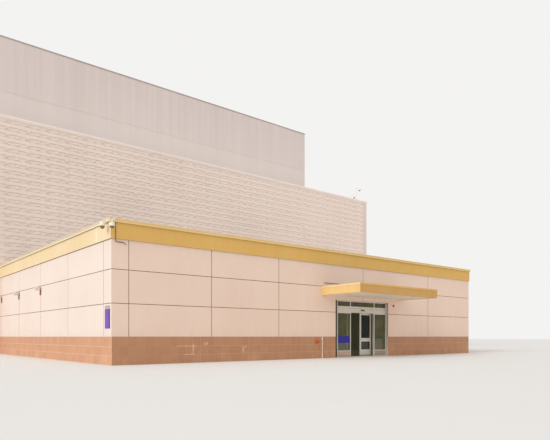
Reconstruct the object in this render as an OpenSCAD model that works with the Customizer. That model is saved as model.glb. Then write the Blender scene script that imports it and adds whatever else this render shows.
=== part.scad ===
// Supermarket building: a single-storey entrance wing in front of a tall relief-faced hall,
// with a smooth upper storey set back on the hall's roof.
// The origin is on the ground, at the middle of the entrance, on the storefront's front face.
// X runs along the front to the right, Y into the building and Z up.

/* [Entrance wing] */
// Width of the narrow panel that turns the front left corner
corner_bay = 710; // [500:10:1200]
// Width of each of the two panels beside the corner panel
small_bay = 3850; // [3000:50:4500]
// Width of the panel on each side of the entrance
wide_bay = 6100; // [5000:50:7000]
// Width of the last panel at the right end
end_bay = 4700; // [3500:50:5500]
// Depth of the wing, from its front face to the hall
wing_d = 18300; // [14000:100:20000]
// Height of the wing to the top of its coping
wing_h = 5700; // [5400:50:6500]
// Length of the side part of the panel that turns the corner
side_corner_bay = 780; // [500:10:1200]
// Width of each panel on the side walls
side_bay = 4240; // [3500:20:4300]
// Thickness of the wing's walls with their facing
wing_wall_t = 300; // [250:10:400]
// Thickness of the facing panels and of the tiles
facing_t = 35; // [20:5:60]
// Width of the open joints between the panels
panel_joint = 22; // [10:2:40]
// Height of the tiled wainscot
wainscot_h = 1120; // [800:10:1300]
// Height of the lower joint between the panels
low_joint_z = 2420; // [2100:10:2700]
// Height of the upper joint between the panels
high_joint_z = 3745; // [3500:5:3900]

/* [Fascia and coping] */
// Height of the painted fascia with its coping
fascia_h = 780; // [500:10:1000]
// How far the fascia stands in front of the panels
fascia_proud = 40; // [20:5:80]
// Height of the coping's outer leg
coping_leg = 130; // [80:5:180]
// How far the coping stands in front of the fascia
coping_proud = 40; // [20:5:60]
// Thickness of the coping over the top of the wall
coping_t = 40; // [20:5:60]
// Height of the lip along the top of the coping
coping_lip_h = 40; // [20:5:45]
// How far the lip stands in front of the coping
coping_lip = 14; // [6:2:20]

/* [Canopy] */
// Width of the entrance canopy
canopy_w = 6370; // [5500:10:7500]
// How far the canopy reaches out from the wall
canopy_d = 2630; // [1500:10:3200]
// Height of the canopy's underside
canopy_low = 3270; // [3200:10:3400]
// Height of the canopy's top edge
canopy_high = 3740; // [3650:10:3740]
// Thickness of the canopy's fascia boards
canopy_board = 60; // [30:5:90]

/* [Storefront] */
// Width of the storefront's opening in the wall
store_w = 4360; // [4200:20:5200]
// Width of the plain filler between the opening's left side and the storefront
filler_w = 280; // [100:10:400]
// Height of the storefront's opening
store_h = 3080; // [2950:10:3150]
// Clear width of the doorway
door_w = 1930; // [1500:10:1950]
// Height of the doorway
door_h = 2440; // [2200:10:2480]
// How far the storefront is set back from the wall's face
store_setback = 150; // [80:10:180]
// Width of the storefront's bars seen from the front
bar_w = 50; // [40:5:70]
// Depth of the storefront's bars
bar_d = 100; // [60:5:100]
// Height of the kick panel at the foot of each sidelight
kick_h = 280; // [150:10:400]
// Thickness of the storefront's glass
glass_t = 10; // [6:1:14]
// Thickness of a mastic bed between a pane and its frame
bed = 0.3; // [0.1:0.1:0.5]

/* [Door operator] */
// Height of the operator's housing over the doors
header_h = 290; // [220:10:300]
// Depth of the operator's housing
header_d = 320; // [315:5:360]
// Thickness of the housing's sheet
header_sheet = 6; // [4:1:8]
// Radius of a carriage wheel
wheel_r = 30; // [20:1:35]

/* [Sliding doors] */
// Thickness of a door leaf
leaf_t = 45; // [40:1:50]
// Width of a leaf's stiles
stile_w = 115; // [50:5:130]
// Height of a leaf's bottom rail
bottom_rail = 330; // [200:10:380]
// Height of a leaf's middle rail
mid_rail = 200; // [100:10:250]
// Height of the middle rail's lower edge over the floor
mid_rail_z = 800; // [700:10:950]
// Height of a leaf's top rail
top_rail = 90; // [60:5:120]
// How far a closed leaf reaches behind its sidelight
leaf_overlap = 5; // [0:5:40]
// Free space between the storefront's bars and the leaves
leaf_back = 120; // [60:5:120]
// Gap between the closed leaves
meeting_gap = 10; // [10:1:20]
// Free space under and over a leaf
leaf_gap = 8; // [6:1:12]

/* [Floor] */
// Thickness of the floor over the ground
floor_t = 40; // [20:5:60]
// Height of the door saddle over the floor
saddle_h = 12; // [8:1:20]

/* [Hall] */
// Width of one module of the hall's relief facing
relief_w = 1280; // [1200:10:1310]
// Number of relief modules along the front
hall_modules_x = 30; // [29:1:30]
// Number of relief modules along each side
hall_modules_y = 12; // [10:1:12]
// How far the relief facing stands in front of the hall's walls
relief_d = 60; // [30:5:90]
// How far the hall reaches past the wing's left side
hall_reach_left = 2640; // [1500:10:3500]
// Height of the hall to the top of its coping
hall_h = 15600; // [13000:100:17000]
// Thickness of the hall's walls
hall_wall_t = 400; // [300:10:500]
// Width of the wide opening between the wing and the hall
hall_opening_w = 18000; // [12000:100:20000]
// Height of the wide opening between the wing and the hall
hall_opening_h = 4200; // [3500:50:4600]

/* [Upper storey] */
// Height of the upper storey's top over the ground
upper_h = 22300; // [20000:100:24000]
// Distance from the hall's front to the upper storey's front
upper_set_front = 3000; // [1500:100:4000]
// Distance from the hall's left side to the upper storey's left side
upper_set_left = 3000; // [1500:100:4000]
// Distance from the hall's right side to the upper storey's right side
upper_set_right = 6160; // [4000:20:8000]
// Distance from the hall's back to the upper storey's back
upper_set_back = 3000; // [1500:100:4000]
// Thickness of the upper storey's walls
upper_wall_t = 300; // [200:10:400]
// Height of the joint that runs round the upper storey
upper_joint_z = 18400; // [17500:50:19500]

/* [Roofs] */
// Thickness of the roof decks
deck_t = 200; // [150:10:300]
// Height of the wing's parapet over its roof
wing_parapet = 350; // [250:10:400]
// Height of the hall's parapet over its roof
hall_parapet = 500; // [300:10:800]
// Height of the thin copings on the hall and on the upper storey
roof_coping_h = 90; // [60:5:150]
// How far the thin copings stand in front of their facings
roof_coping_proud = 25; // [10:5:60]
// Gap between the lengths of coping or fascia at a corner
coping_gap = 4; // [2:1:8]

/* [Wall fittings] */
// Height of the foot of the lamp heads on the left wall
light_z = 3530; // [3400:10:3560]
// How far a lamp head reaches out
light_reach = 300; // [200:10:400]
// Width of a lamp head
light_w = 260; // [150:10:350]
// Height of a lamp head
light_h = 160; // [100:10:200]
// Distance of the wall sign from the front left corner
wall_sign_y = 120; // [60:10:200]
// Width of the wall sign
wall_sign_w = 520; // [300:10:560]
// Height of the wall sign's lower edge
wall_sign_z = 1430; // [1200:10:1500]
// Height of the wall sign
wall_sign_h = 910; // [500:10:960]
// Height of the sidelight sign's lower edge
glass_sign_z = 780; // [600:10:1200]
// Height of the sidelight sign
glass_sign_h = 370; // [200:10:500]
// Free glass on each side of the sidelight sign
glass_sign_gap = 20; // [10:5:100]
// Thickness of a sign plate
plate_t = 6; // [3:1:10]
// Distance of the fire hose connection from the storefront
hose_x = 1380; // [300:10:2000]
// Height of the fire hose connection
hose_z = 880; // [400:10:980]
// Radius of the fire hose connection's plate
hose_plate_r = 125; // [90:5:160]
// Distance of the thin pipe from the storefront
pipe_x = 1010; // [100:10:1200]
// Height of the thin pipe
pipe_h = 1080; // [800:10:1100]
// Radius of the thin pipe
pipe_r = 24; // [15:1:35]
// Distance of the alarm from the storefront
alarm_x = 490; // [150:10:1000]
// Height of the alarm
alarm_z = 2920; // [2600:10:3100]
// Radius of the alarm
alarm_r = 75; // [50:5:100]

/* [Cameras] */
// Radius of a camera's housing
dome_r = 110; // [80:5:130]
// Height of a camera's housing
housing_h = 160; // [100:10:200]
// Height of the corner cameras' arms under the top of the coping
corner_arm_down = 80; // [75:1:85]
// Radius of the cable conduit
conduit_r = 14; // [8:1:20]
// How far the conduit runs along the wall
conduit_run = 460; // [300:10:600]
// How far the roof cameras' arms reach out from their posts
roof_cam_reach = 460; // [420:10:600]
// Heights of the roof cameras' posts over the hall's coping
roof_post_heights = [500, 1400, 320]; // [200:10:2000]
// Distances of the roof cameras' posts from the hall's front right corner
roof_post_from_corner = [1710, 880, 500]; // [300:10:4000]

/* [Hidden] */
$fn = 48;

// Plan of the wing
wing_x0 = -(corner_bay + 2 * small_bay + wide_bay);
wing_x1 = wide_bay + end_bay;
face_y = -store_setback;
core_y = face_y + facing_t;
wing_y1 = face_y + wing_d;
core_t = wing_wall_t - facing_t;
inner_y = face_y + wing_wall_t;
front_joints = [wing_x0 + corner_bay, wing_x0 + corner_bay + small_bay, -wide_bay, 0, wide_bay];
side_joints = [for (i = [0 : floor((wing_d - side_corner_bay) / side_bay)]) face_y + side_corner_bay + i * side_bay];
panel_top = wing_h - fascia_h;
panel_rows = [wainscot_h, low_joint_z, high_joint_z, panel_top];
parapet_top = wing_h - coping_t;
corner_cam_z = wing_h - corner_arm_down;

// Plan of the hall and of the upper storey
hall_x0 = wing_x0 - hall_reach_left;
hall_x1 = hall_x0 + hall_modules_x * relief_w;
hall_y0 = wing_y1;
hall_y1 = hall_y0 + hall_modules_y * relief_w;
hall_deck_z = hall_h - hall_parapet - deck_t;
hall_opening_x = (wing_x0 + wing_x1) / 2;
upper_x0 = hall_x0 + upper_set_left;
upper_x1 = hall_x1 - upper_set_right;
upper_y0 = hall_y0 + upper_set_front;
upper_y1 = hall_y1 - upper_set_back;
upper_z0 = hall_deck_z + deck_t;

// Storefront and doors
header_z = door_h;
transom_z = door_h + header_h;
frame_w = store_w - filler_w;
door_mid = filler_w / 2;
leaf_y = bar_d + leaf_back;
leaf_w = door_w / 2 + leaf_overlap - meeting_gap / 2;
leaf_z0 = floor_t + saddle_h + leaf_gap;
leaf_z1 = header_z - leaf_gap;
leaf_mid_y = leaf_y + leaf_t / 2;
hanger_t = 6;
slot_w = hanger_t + 14;
track_y = leaf_mid_y + 26;
track_z = header_z + 30;
rail_bead = 6;
wheel_t = 12;
wheel_z = track_z + rail_bead + bed + wheel_r;
open_travel = door_w / 2;

module slab(x0, x1, y0, y1, z0, z1)
    translate([x0, y0, z0]) cube([x1 - x0, y1 - y0, z1 - z0]);

// A profile drawn in Y and Z, run along X from x0 to x1
module run_x(x0, x1)
    translate([x0, 0, 0]) rotate([90, 0, 90]) linear_extrude(x1 - x0) children();

// A profile drawn in X and Z, run along Y from y0 to y1
module run_y(y0, y1)
    translate([0, y1, 0]) rotate([90, 0, 0]) linear_extrude(y1 - y0) children();

// Wing walls
module front_wall_left() color("#d9c7b8")
    slab(wing_x0 + facing_t, -store_w / 2, core_y, inner_y, 0, parapet_top);

module front_wall_right() color("#d9c7b8")
    slab(store_w / 2, wing_x1 - facing_t, core_y, inner_y, 0, parapet_top);

module front_wall_over_entrance() color("#d9c7b8")
    slab(-store_w / 2, store_w / 2, core_y, inner_y, store_h, parapet_top);

module left_wall() color("#d9c7b8")
    slab(wing_x0 + facing_t, wing_x0 + wing_wall_t, inner_y, wing_y1, 0, parapet_top);

module right_wall() color("#d9c7b8")
    slab(wing_x1 - wing_wall_t, wing_x1 - facing_t, inner_y, wing_y1, 0, parapet_top);

// One facing panel of the front, between two joint lines
module front_panel(xa, xb, za, zb) {
    ga = panel_joint / 2;
    slab(xa + (xa == wing_x0 ? 0 : ga), xb - (xb == wing_x1 ? 0 : ga), face_y, core_y,
         za + (za == wainscot_h ? 0 : ga), zb - (zb == panel_top ? 0 : ga));
}

// One facing panel of a side wall, whose outer face is at x = outer
module side_panel(outer, inward, ya, yb, za, zb) {
    ga = panel_joint / 2;
    x_in = outer + inward * facing_t;
    slab(min(outer, x_in), max(outer, x_in), ya + (ya == face_y ? 0 : ga), yb - (yb == wing_y1 ? 0 : ga),
         za + (za == wainscot_h ? 0 : ga), zb - (zb == panel_top ? 0 : ga));
}

// Front panels, with the two that turn the corners, cut round the storefront
module front_panels() color("#e8d2c2") {
    xs = concat([wing_x0], front_joints, [wing_x1]);
    for (r = [0 : len(panel_rows) - 2]) {
        za = panel_rows[r];
        zb = panel_rows[r + 1];
        for (i = [1 : len(xs) - 3])
            difference() {
                front_panel(xs[i], xs[i + 1], za, zb);
                slab(-store_w / 2, store_w / 2, face_y - 1, core_y + 1, 0, store_h);
            }
        union() {
            front_panel(xs[0], xs[1], za, zb);
            side_panel(wing_x0, 1, face_y, side_joints[0], za, zb);
        }
        union() {
            front_panel(xs[len(xs) - 2], wing_x1, za, zb);
            side_panel(wing_x1, -1, face_y, side_joints[0], za, zb);
        }
    }
}

module side_panels() color("#f0dccb") {
    ys = concat(side_joints, [wing_y1]);
    for (r = [0 : len(panel_rows) - 2])
        for (i = [0 : len(ys) - 2]) {
            side_panel(wing_x0, 1, ys[i], ys[i + 1], panel_rows[r], panel_rows[r + 1]);
            side_panel(wing_x1, -1, ys[i], ys[i + 1], panel_rows[r], panel_rows[r + 1]);
        }
}

module front_wainscot() color("#a5786a") {
    slab(wing_x0, -store_w / 2, face_y, core_y, 0, wainscot_h);
    slab(store_w / 2, wing_x1, face_y, core_y, 0, wainscot_h);
}

module side_wainscot() color("#c08c76") {
    slab(wing_x0, wing_x0 + facing_t, core_y, wing_y1, 0, wainscot_h);
    slab(wing_x1 - facing_t, wing_x1, core_y, wing_y1, 0, wainscot_h);
}

// Fascia board with a drip along its lower edge; u points out of the wall
module fascia_profile() {
    drip = 12;
    polygon([[-facing_t, panel_top], [fascia_proud - 2 * drip, panel_top],
             [fascia_proud - drip, panel_top + drip], [fascia_proud - drip, panel_top],
             [fascia_proud, panel_top], [fascia_proud, parapet_top], [-facing_t, parapet_top]]);
}

// Three lengths of a profile round the wing, mitred at the two front corners; u points outwards
module round_wing() {
    out = 4 * (fascia_proud + coping_proud);
    deep = 2 * wing_wall_t;
    intersection() {
        run_x(wing_x0 - out, wing_x1 + out) translate([face_y, 0]) mirror([1, 0]) children();
        linear_extrude(2 * wing_h) polygon([
            [wing_x0 - out + coping_gap, face_y - out], [wing_x1 + out - coping_gap, face_y - out],
            [wing_x1 - deep - coping_gap, face_y + deep], [wing_x0 + deep + coping_gap, face_y + deep]]);
    }
    intersection() {
        run_y(face_y - out, wing_y1) translate([wing_x0, 0]) mirror([1, 0]) children();
        linear_extrude(2 * wing_h) polygon([[wing_x0 - out, face_y - out], [wing_x0 + deep, face_y + deep],
                                            [wing_x0 + deep, wing_y1], [wing_x0 - out, wing_y1]]);
    }
    intersection() {
        run_y(face_y - out, wing_y1) translate([wing_x1, 0]) children();
        linear_extrude(2 * wing_h) polygon([[wing_x1 + out, face_y - out], [wing_x1 + out, wing_y1],
                                            [wing_x1 - deep, wing_y1], [wing_x1 - deep, face_y + deep]]);
    }
}

module fascia() color("#d6ac60") round_wing() fascia_profile();

// Cap that folds down over both sides of the wall top, with a lip along its upper edge and a
// kicked-out drip along its lower one; u points outwards
module coping_profile(wall, outer, leg, thick, top, kick = 10) {
    polygon([[outer - thick, top - leg], [outer + kick, top - leg - kick], [outer + kick, top - leg],
             [outer, top - leg + kick], [outer, top - coping_lip_h], [outer + coping_lip, top - coping_lip_h],
             [outer + coping_lip, top - coping_lip], [outer, top], [-wall - thick, top - kick],
             [-wall - thick, top - leg], [-wall, top - leg], [-wall, top - thick],
             [outer - thick, top - thick]]);
}

module wing_coping() color("#e3bf78") round_wing()
    coping_profile(wing_wall_t, fascia_proud + coping_proud, coping_leg, coping_proud, wing_h);

module wing_roof() color("#b9b6ae")
    slab(wing_x0 + wing_wall_t, wing_x1 - wing_wall_t, inner_y, wing_y1,
         wing_h - wing_parapet - deck_t, wing_h - wing_parapet);

// One level floor under the doorway, the wing, the wide opening and the hall
module floor() color("#cfc8bd") {
    half = hall_opening_w / 2;
    linear_extrude(floor_t) union() {
        translate([-store_w / 2, face_y]) square([store_w, wing_wall_t]);
        translate([wing_x0 + wing_wall_t, inner_y])
            square([wing_x1 - wing_x0 - 2 * wing_wall_t, wing_y1 - inner_y]);
        translate([hall_opening_x - half, wing_y1]) square([hall_opening_w, hall_wall_t]);
        translate([hall_x0 + hall_wall_t, hall_y0 + hall_wall_t])
            square([hall_x1 - hall_x0 - 2 * hall_wall_t, hall_y1 - hall_y0 - 2 * hall_wall_t]);
    }
}

// Canopy
canopy_front = face_y - canopy_d;
soffit_t = 30;
soffit_up = 25;

module canopy_deck() color("#c9c2b4")
    slab(-canopy_w / 2 + canopy_board, canopy_w / 2 - canopy_board, canopy_front + canopy_board, face_y,
         canopy_high - 150, canopy_high - 50);

module canopy_fascia() color("#dcae5c") {
    slab(-canopy_w / 2, canopy_w / 2, canopy_front, canopy_front + canopy_board, canopy_low, canopy_high);
    for (s = [-1, 1])
        slab(s * (canopy_w - canopy_board) / 2 - canopy_board / 2, s * (canopy_w - canopy_board) / 2
             + canopy_board / 2, canopy_front + canopy_board + coping_gap, face_y, canopy_low, canopy_high);
}

module canopy_soffit() color("#ecdcc4")
    slab(-canopy_w / 2 + canopy_board, canopy_w / 2 - canopy_board, canopy_front + canopy_board, face_y,
         canopy_low + soffit_up, canopy_low + soffit_up + soffit_t);

// Bent strip that laps from the wall over the canopy's deck
module canopy_flashing() color("#7d6a5c") {
    strip_t = 8;
    lap = 220;
    run_x(-canopy_w / 2 + canopy_board + 100, canopy_w / 2 - canopy_board - 100)
        polygon([[face_y, high_joint_z + 200], [face_y - strip_t, high_joint_z + 200],
                 [face_y - strip_t, canopy_high - 50 + strip_t], [face_y - lap, canopy_high - 50 + strip_t],
                 [face_y - lap, canopy_high - 50], [face_y, canopy_high - 50]]);
}

// Storefront, drawn round the doorway's middle
module storefront_frame() color("#d7d6d0") translate([door_mid, 0, 0]) {
    half = frame_w / 2;
    door_half = door_w / 2;
    // Filler between the wall and the left jamb
    slab(-half - filler_w, -half, bar_d * 0.4, bar_d * 0.6, floor_t, store_h);
    // Jambs
    for (s = [-1, 1])
        slab(s * (half - bar_w / 2) - bar_w / 2, s * (half - bar_w / 2) + bar_w / 2, 0, bar_d, floor_t, store_h);
    // Head
    slab(-half, half, 0, bar_d, store_h - bar_w, store_h);
    // Sill of the transom light, which the operator's housing hangs under
    slab(-half, half, 0, bar_d, transom_z, transom_z + bar_w);
    for (s = [-1, 1]) {
        // Mullion beside the doorway, and its length through the transom light
        slab(s * (door_half + bar_w / 2) - bar_w / 2, s * (door_half + bar_w / 2) + bar_w / 2, 0, bar_d,
             floor_t, header_z);
        slab(s * (door_half + bar_w / 2) - bar_w / 2, s * (door_half + bar_w / 2) + bar_w / 2, 0, bar_d,
             transom_z, store_h);
        // Kick panel and the rail over it
        slab(min(s * half, s * door_half), max(s * half, s * door_half), bar_d / 4, bar_d * 3 / 4,
             floor_t, floor_t + kick_h);
        slab(min(s * half, s * door_half), max(s * half, s * door_half), 0, bar_d,
             floor_t + kick_h, floor_t + kick_h + bar_w);
        slab(min(s * half, s * door_half), max(s * half, s * door_half), 0, bar_d,
             header_z - bar_w, header_z);
    }
}

module storefront_glass() color("#9fb3b8", 0.5) translate([door_mid, 0, 0]) {
    half = frame_w / 2;
    door_half = door_w / 2;
    y0 = (bar_d - glass_t) / 2;
    za = floor_t + kick_h + bar_w + bed;
    for (s = [-1, 1]) {
        xa = door_half + bar_w + bed;
        xb = half - bar_w - bed;
        slab(min(s * xa, s * xb), max(s * xa, s * xb), y0, y0 + glass_t, za, header_z - bar_w - bed);
        slab(min(s * xa, s * xb), max(s * xa, s * xb), y0, y0 + glass_t,
             transom_z + bar_w + bed, store_h - bar_w - bed);
    }
    slab(-door_half + bed, door_half - bed, y0, y0 + glass_t, transom_z + bar_w + bed, store_h - bar_w - bed);
}

// Operator's housing: a folded sheet with a slot under it and the track that the wheels run on
module header_profile() {
    s = header_sheet;
    slot0 = leaf_mid_y - slot_w / 2;
    slot1 = leaf_mid_y + slot_w / 2;
    translate([0, header_z]) square([s, header_h]);
    translate([0, transom_z - s]) square([header_d, s]);
    translate([header_d - s, header_z]) square([s, header_h]);
    translate([0, header_z]) square([slot0, s]);
    translate([slot1, header_z]) square([header_d - slot1, s]);
    translate([track_y - 9, track_z - 8]) square([header_d - track_y + 9, 8]);
    translate([header_d - 20, header_z]) square([14, track_z - header_z]);
    translate([track_y - rail_bead / 2, track_z - 1]) square([rail_bead, rail_bead + 1]);
}

module door_header() color("#cfc9bc")
    run_x(door_mid - frame_w / 2 + bar_w + bed, door_mid + frame_w / 2 - bar_w - bed) header_profile();

// Motion sensor over the middle of the doorway
module door_sensor() color("#3a3a3c") {
    sensor_w = 260;
    sensor_h = 70;
    sensor_d = 55;
    z0 = header_z + (header_h - sensor_h) / 2;
    run_x(door_mid - sensor_w / 2, door_mid + sensor_w / 2)
        polygon([[0, z0], [0, z0 + sensor_h], [-sensor_d * 0.6, z0 + sensor_h],
                 [-sensor_d, z0 + sensor_h * 0.6], [-sensor_d * 0.7, z0]]);
}

module door_saddle() color("#a9a8a4")
    run_x(door_mid - door_w / 2, door_mid + door_w / 2)
        polygon([[0, floor_t], [20, floor_t + saddle_h], [header_d - 20, floor_t + saddle_h],
                 [header_d, floor_t]]);

// Door leaf whose outer corner is at x = 0, with its carriages; it is drawn at its place in Y and Z
module leaf_frame() {
    difference() {
        slab(0, leaf_w, leaf_y, leaf_y + leaf_t, leaf_z0, leaf_z1);
        slab(stile_w, leaf_w - stile_w, leaf_y - 1, leaf_y + leaf_t + 1,
             leaf_z0 + bottom_rail, floor_t + mid_rail_z);
        slab(stile_w, leaf_w - stile_w, leaf_y - 1, leaf_y + leaf_t + 1,
             floor_t + mid_rail_z + mid_rail, leaf_z1 - top_rail);
    }
    hanger_w = 90;
    for (x = [leaf_w * 0.18, leaf_w * 0.82]) {
        slab(x - hanger_w / 2, x + hanger_w / 2, leaf_mid_y - hanger_t / 2, leaf_mid_y + hanger_t / 2,
             leaf_z1, wheel_z + 14);
        translate([x, leaf_mid_y, wheel_z]) rotate([-90, 0, 0]) cylinder(r = 8, h = track_y - leaf_mid_y);
        translate([x, track_y - wheel_t / 2, wheel_z]) rotate([-90, 0, 0]) cylinder(r = wheel_r, h = wheel_t);
    }
}

module leaf_glass() {
    y0 = leaf_y + (leaf_t - glass_t) / 2;
    slab(stile_w + bed, leaf_w - stile_w - bed, y0, y0 + glass_t,
         leaf_z0 + bottom_rail + bed, floor_t + mid_rail_z - bed);
    slab(stile_w + bed, leaf_w - stile_w - bed, y0, y0 + glass_t,
         floor_t + mid_rail_z + mid_rail + bed, leaf_z1 - top_rail - bed);
}

// The left leaf stands open behind its sidelight, the right leaf stands closed
left_leaf_x = door_mid - meeting_gap / 2 - leaf_w - open_travel;
right_leaf_x = door_mid + meeting_gap / 2;

module left_door_frame() color("#e2e1dc") translate([left_leaf_x, 0, 0]) leaf_frame();

module left_door_glass() color("#8fa5ab", 0.5) translate([left_leaf_x, 0, 0]) leaf_glass();

module right_door_frame() color("#e2e1dc") translate([right_leaf_x, 0, 0]) leaf_frame();

module right_door_glass() color("#8fa5ab", 0.5) translate([right_leaf_x, 0, 0]) leaf_glass();

// Wall bracket and a lamp head with a sloped front, drawn on a wall that faces -X
module wall_light() {
    bracket_w = 120;
    bracket_d = 40;
    bracket_down = 260;
    lip = 30;
    slab(-bracket_d, 0, -bracket_w / 2, bracket_w / 2, -bracket_down, light_h - lip);
    run_y(-light_w / 2, light_w / 2)
        polygon([[-bracket_d, lip], [-bracket_d, light_h], [-light_reach * 0.72, light_h],
                 [-light_reach, light_h * 0.45], [-light_reach, lip], [-light_reach * 0.9, 0],
                 [-bracket_d - lip, 0]]);
}

module wall_lights() color("#dcd8d0")
    for (i = [2 : len(side_joints) - 1])
        translate([wing_x0, min(side_joints[i], wing_y1 - 2 * light_w), light_z]) wall_light();

// Bare plates: one beside the corner, one across the left sidelight
module sign_plates() color("#3b3f9a") {
    slab(wing_x0 - plate_t, wing_x0, face_y + wall_sign_y, face_y + wall_sign_y + wall_sign_w,
         wall_sign_z, wall_sign_z + wall_sign_h);
    glass_y = (bar_d - glass_t) / 2;
    slab(door_mid - frame_w / 2 + bar_w + glass_sign_gap, door_mid - door_w / 2 - bar_w - glass_sign_gap,
         glass_y - plate_t, glass_y, glass_sign_z, glass_sign_z + glass_sign_h);
}

// Dome camera that hangs from an arm along -X; swing turns the arm on its plate
module dome_camera(reach, drop, swing = 0) {
    arm_r = 20;
    plate_r = 38;
    knuckle_r = arm_r * 1.3;
    knuckle_h = 48;
    pivot_x = knuckle_r + 2;
    run = reach - pivot_x;
    neck_r = dome_r * 0.55;
    shoulder = housing_h * 0.35;
    rotate([0, -90, 0]) cylinder(r = plate_r, h = 18);
    translate([-pivot_x, 0, -knuckle_h / 2]) cylinder(r = knuckle_r, h = knuckle_h);
    translate([-pivot_x, 0, 0]) rotate([0, 0, swing]) {
        rotate([0, -90, 0]) cylinder(r = arm_r, h = run);
        translate([-run, 0, 0]) sphere(r = arm_r);
        translate([-run, 0, -drop]) cylinder(r = arm_r, h = drop);
        translate([-run, 0, -drop - housing_h]) rotate_extrude()
            polygon([[0, housing_h], [neck_r, housing_h], [dome_r, housing_h - shoulder], [dome_r, 0], [0, 0]]);
        translate([-run, 0, -drop - housing_h]) difference() {
            sphere(r = dome_r * 0.85);
            translate([-dome_r, -dome_r, 0]) cube(2 * dome_r);
        }
    }
}

module corner_cameras() color("#ecebe6") {
    reach = fascia_proud + coping_proud;
    translate([wing_x0 - reach, face_y + 200, corner_cam_z]) dome_camera(200, 75);
    translate([wing_x0 + 50, face_y - reach, corner_cam_z]) rotate([0, 0, 90]) dome_camera(260, 130, -35);
}

// Cable conduit that comes down the fascia and turns along the wall under it
module camera_conduit() color("#8a7f74") {
    x0 = wing_x0 + 145;
    y0 = face_y - fascia_proud - conduit_r;
    y1 = face_y - conduit_r * 1.3;
    bend_z = panel_top - 2 * conduit_r;
    run_z = bend_z - 2 * fascia_proud;
    elbow_r = conduit_r * 1.3;
    translate([x0, y0, bend_z]) cylinder(r = conduit_r, h = wing_h - coping_leg - 3 * conduit_r - bend_z);
    translate([x0, y0, bend_z]) sphere(r = elbow_r);
    // Length that slants back from the fascia to the wall
    translate([x0, y0, bend_z]) rotate([180 + atan2(y1 - y0, bend_z - run_z), 0, 0])
        cylinder(r = conduit_r, h = norm([y1 - y0, bend_z - run_z]));
    translate([x0, y1, run_z]) sphere(r = elbow_r);
    translate([x0, y1, run_z]) rotate([0, 90, 0]) cylinder(r = conduit_r, h = conduit_run);
}

// Round plate with two capped outlets
module hose_connection() color("#c4502e")
    translate([-store_w / 2 - hose_x, face_y, hose_z]) rotate([90, 0, 0]) {
        outlet_r = hose_plate_r * 0.3;
        cap_r = hose_plate_r * 0.37;
        cylinder(r = hose_plate_r, h = 12);
        for (s = [-1, 1])
            translate([s * hose_plate_r * 0.44, 0, 0]) {
                cylinder(r = outlet_r, h = 100);
                translate([0, 0, 100]) cylinder(r = cap_r, h = 22);
            }
    }

module alarm() color("#b0463a")
    translate([store_w / 2 + alarm_x, face_y, alarm_z]) rotate([90, 0, 0]) {
        cylinder(r = alarm_r, h = 25);
        translate([0, 0, 25]) cylinder(r = alarm_r * 0.7, h = 25);
    }

module service_pipe() color("#e9e6de")
    translate([-store_w / 2 - pipe_x, face_y - pipe_r, 0]) {
        cylinder(r = pipe_r, h = pipe_h);
        translate([0, 0, pipe_h]) sphere(r = pipe_r);
    }

// Hall
module hall_front_lower() color("#ddcabd") {
    for (s = [-1, 1]) {
        xo = hall_opening_x + s * hall_opening_w / 2;
        xe = s < 0 ? hall_x0 : hall_x1;
        slab(min(xo, xe), max(xo, xe), hall_y0, hall_y0 + hall_wall_t, 0, hall_opening_h);
    }
}

module hall_front_upper() color("#ddcabd")
    slab(hall_x0, hall_x1, hall_y0, hall_y0 + hall_wall_t, hall_opening_h, hall_h - roof_coping_h);

module hall_side_walls() color("#ddcabd") {
    y0 = hall_y0 + hall_wall_t;
    slab(hall_x0, hall_x0 + hall_wall_t, y0, hall_y1, 0, hall_h - roof_coping_h);
    slab(hall_x1 - hall_wall_t, hall_x1, y0, hall_y1, 0, hall_h - roof_coping_h);
}

module hall_back_wall() color("#ddcabd")
    slab(hall_x0 + hall_wall_t, hall_x1 - hall_wall_t, hall_y1 - hall_wall_t, hall_y1, 0, hall_h - roof_coping_h);

module hall_roof() color("#bdbab2")
    slab(hall_x0 + hall_wall_t, hall_x1 - hall_wall_t, hall_y0 + hall_wall_t, hall_y1 - hall_wall_t,
         hall_deck_z, hall_deck_z + deck_t);

// Four lengths of coping round a rectangle of walls, cut short of each other at the corners
module coping_ring(x0, x1, y0, y1, wall, proud, top, h) {
    for (side = [0, 1]) {
        ya = side == 0 ? y0 - proud : y1 - wall - roof_coping_proud;
        slab(x0 - proud, x1 + proud, ya, ya + wall + proud + roof_coping_proud, top - h, top);
        xa = side == 0 ? x0 - proud : x1 - wall - roof_coping_proud;
        slab(xa, xa + wall + proud + roof_coping_proud, y0 + wall + roof_coping_proud + coping_gap,
             y1 - wall - roof_coping_proud - coping_gap, top - h, top);
    }
}

module hall_coping() color("#ece4d8")
    coping_ring(hall_x0, hall_x1, hall_y0, hall_y1, hall_wall_t, relief_d + roof_coping_proud, hall_h,
                roof_coping_h);

// Upper storey, with a shallow joint cut round it
module upper_joint() {
    half = panel_joint / 2;
    deep = 15;
    difference() {
        slab(upper_x0 - 1, upper_x1 + 1, upper_y0 - 1, upper_y1 + 1, upper_joint_z - half, upper_joint_z + half);
        slab(upper_x0 + deep, upper_x1 - deep, upper_y0 + deep, upper_y1 - deep, upper_z0, upper_h);
    }
}

module upper_front_wall() color("#d4c9bf") difference() {
    slab(upper_x0, upper_x1, upper_y0, upper_y0 + upper_wall_t, upper_z0, upper_h - roof_coping_h);
    upper_joint();
}

module upper_side_walls() color("#d4c9bf") difference() {
    y0 = upper_y0 + upper_wall_t;
    union() {
        slab(upper_x0, upper_x0 + upper_wall_t, y0, upper_y1, upper_z0, upper_h - roof_coping_h);
        slab(upper_x1 - upper_wall_t, upper_x1, y0, upper_y1, upper_z0, upper_h - roof_coping_h);
    }
    upper_joint();
}

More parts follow.
